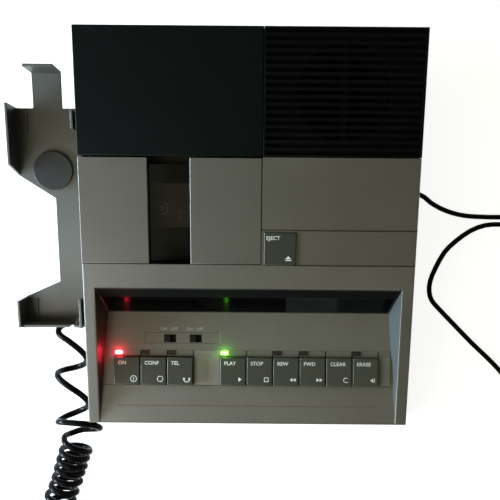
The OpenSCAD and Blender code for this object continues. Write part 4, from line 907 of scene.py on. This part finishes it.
# Painted shade for the slots of the case's screws, underneath, and of the cradle's
SCREW_X, SCREW_Y, SCREW_Z = 85.8, 98, 2.1
SHEET_T, HEAD_H, HEAD_W = 1.5, 1.8, -28
for side_x in (-1, 1):
    for side_y in (-1, 1):
        p = Plane("case", (side_x * SCREW_X, side_y * SCREW_Y, SCREW_Z), (1, 0, 0), (0, -1, 0))
        p.bar(SHADE_INK, -1.5, -0.28, 3.0, 0.56)
        p.bar(SHADE_INK, -0.28, 0.28, 0.56, 1.22)
        p.bar(SHADE_INK, -0.28, -1.5, 0.56, 1.22)
for v in (12, 60):
    p = Plane("case", on_top(-HALF_W - SHEET_T - HEAD_H, v, HEAD_W), (0, -COS, -SIN), (0, -SIN, COS))
    p.bar(SHADE_INK, -1.6, -0.3, 3.2, 0.6)

for (body, material), mesh in ink.items():
    data = bpy.data.meshes.new(f"print_{body}_{material}")
    mesh.to_mesh(data)
    mesh.free()
    data.materials.append(bpy.data.materials[material])
    made = bpy.data.objects.new(data.name, data)
    scene.collection.objects.link(made)
    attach(made, body)


# Floor, background and light
FLOOR_R, FLOOR_DROP, BACKDROP_R, BACKDROP_H, RIM_STEPS = 4.0, -0.0002, 4.0, 3.2, 96
FLOOR_WHITE, FLOOR_GREY = 0.89, (0.55, 0.55, 0.55, 1)
ROOM_LEFT, ROOM_RIGHT, ROOM_END, ROOM_COLOUR = 0.72, 0.01, 0.3, (1.0, 0.92, 0.5, 1)


def stage_material(name, strength, unlit):
    """White to camera, glossy and transmission rays; other rays meet the plain shader below it."""
    paint = bpy.data.materials.new(name)
    paint.use_nodes = True
    tree = paint.node_tree
    tree.nodes.clear()
    path = tree.nodes.new("ShaderNodeLightPath")
    seen = path.outputs["Is Camera Ray"]
    for kind in ("Is Glossy Ray", "Is Transmission Ray"):
        either = tree.nodes.new("ShaderNodeMath")
        either.operation = "MAXIMUM"
        tree.links.new(seen, either.inputs[0])
        tree.links.new(path.outputs[kind], either.inputs[1])
        seen = either.outputs[0]
    scaled = tree.nodes.new("ShaderNodeMath")
    scaled.operation = "MULTIPLY"
    scaled.inputs[1].default_value = strength
    tree.links.new(seen, scaled.inputs[0])
    glow = tree.nodes.new("ShaderNodeEmission")
    tree.links.new(scaled.outputs[0], glow.inputs["Strength"])
    plain = tree.nodes.new(unlit)
    if unlit == "ShaderNodeBsdfDiffuse":
        plain.inputs["Color"].default_value = FLOOR_GREY
        both = tree.nodes.new("ShaderNodeAddShader")
        tree.links.new(plain.outputs[0], both.inputs[0])
        tree.links.new(glow.outputs[0], both.inputs[1])
    else:
        both = tree.nodes.new("ShaderNodeMixShader")
        tree.links.new(seen, both.inputs["Fac"])
        tree.links.new(plain.outputs[0], both.inputs[1])
        tree.links.new(glow.outputs[0], both.inputs[2])
    out = tree.nodes.new("ShaderNodeOutputMaterial")
    tree.links.new(both.outputs[0], out.inputs["Surface"])
    return paint


def stage_piece(name, verts, faces, material):
    mesh = bpy.data.meshes.new(name)
    mesh.from_pydata(verts, [], faces)
    mesh.materials.append(material)
    made = bpy.data.objects.new(name, mesh)
    made.location.z = FLOOR_DROP
    scene.collection.objects.link(made)


rim_angles = [2 * math.pi * i / RIM_STEPS for i in range(RIM_STEPS)]
rim = [(math.cos(a), math.sin(a)) for a in rim_angles]
stage_piece(
    "floor", [(FLOOR_R * x, FLOOR_R * y, 0) for x, y in rim], [tuple(range(RIM_STEPS))],
    stage_material("floor_paper", FLOOR_WHITE, "ShaderNodeBsdfDiffuse"),
)
stage_piece(
    "backdrop", [(BACKDROP_R * x, BACKDROP_R * y, z) for z in (0, BACKDROP_H) for x, y in rim],
    [(i, (i + 1) % RIM_STEPS, (i + 1) % RIM_STEPS + RIM_STEPS, i + RIM_STEPS) for i in range(RIM_STEPS)],
    stage_material("backdrop_paper", 1.0, "ShaderNodeBsdfTransparent"),
)

# The room is brighter on the left, where the window is
world = bpy.data.worlds.new("studio")
scene.world = world
world.use_nodes = True
room = world.node_tree
room.nodes["Background"].inputs["Color"].default_value = ROOM_COLOUR
way = room.nodes.new("ShaderNodeSeparateXYZ")
room.links.new(room.nodes.new("ShaderNodeTexCoord").outputs["Generated"], way.inputs["Vector"])
side = room.nodes.new("ShaderNodeMapRange")
for socket, value in (("From Min", -1), ("From Max", ROOM_END), ("To Min", ROOM_LEFT), ("To Max", ROOM_RIGHT)):
    side.inputs[socket].default_value = value
room.links.new(way.outputs["X"], side.inputs["Value"])
room.links.new(side.outputs["Result"], room.nodes["Background"].inputs["Strength"])


def light(name, kind, place, watts, colour, **values):
    """A lamp that points at the machine's middle."""
    data = bpy.data.lights.new(name, kind)
    data.energy = watts
    data.color = colour
    for key, value in values.items():
        setattr(data, key, value)
    made = bpy.data.objects.new(name, data)
    made.location = place
    made.rotation_euler = (-Vector(place)).to_track_quat("-Z", "Y").to_euler()
    scene.collection.objects.link(made)
    return made


WARM, RED_GLOW, GREEN_GLOW = (1.0, 0.97, 0.93), (1.0, 0.02, 0.06), (0.2, 1.0, 0.02)
light("window", "AREA", (-0.6, -0.05, 0.12), 12.6, (0.58, 0.78, 1.0), shape="RECTANGLE", size=0.4, size_y=0.1)
light("sill", "AREA", (-0.3, -0.16, 0.085), 0.6, (0.68, 0.83, 1.0), shape="RECTANGLE", size=0.12, size_y=0.04)
light("desk", "AREA", (-0.25, -0.2, 0.25), 0.52, (1.0, 0.97, 0.97), size=0.2)
light("low", "AREA", (0.7, 0.0, 0.01), 1.5, WARM, shape="RECTANGLE", size=0.4, size_y=0.012)
light("behind", "AREA", (0.5, 0.9, 0.1), 1.5, WARM, size=0.3)
# The lit lamps' shine on what is around them, and the red one's on the well's left wall
for slot, colour, watts in ((0, RED_GLOW, 0.0042), (4, GREEN_GLOW, 0.002)):
    for rise, share in ((2.2, 0.9), (4.5, 0.25)):
        glow = light("lamp_glow", "POINT", lamp_point(slot, rise), watts * share, colour, shadow_soft_size=0.0012)
        glow.visible_camera = False
wall_glow = light(
    "wall_glow", "AREA", (-0.0815, -0.0668, 0.027), 0.0019, RED_GLOW,
    shape="RECTANGLE", size=0.001, size_y=0.008,
)
wall_glow.rotation_euler = (0, math.pi / 2, 0)
wall_glow.visible_camera = False

scene.view_settings.view_transform = "Standard"
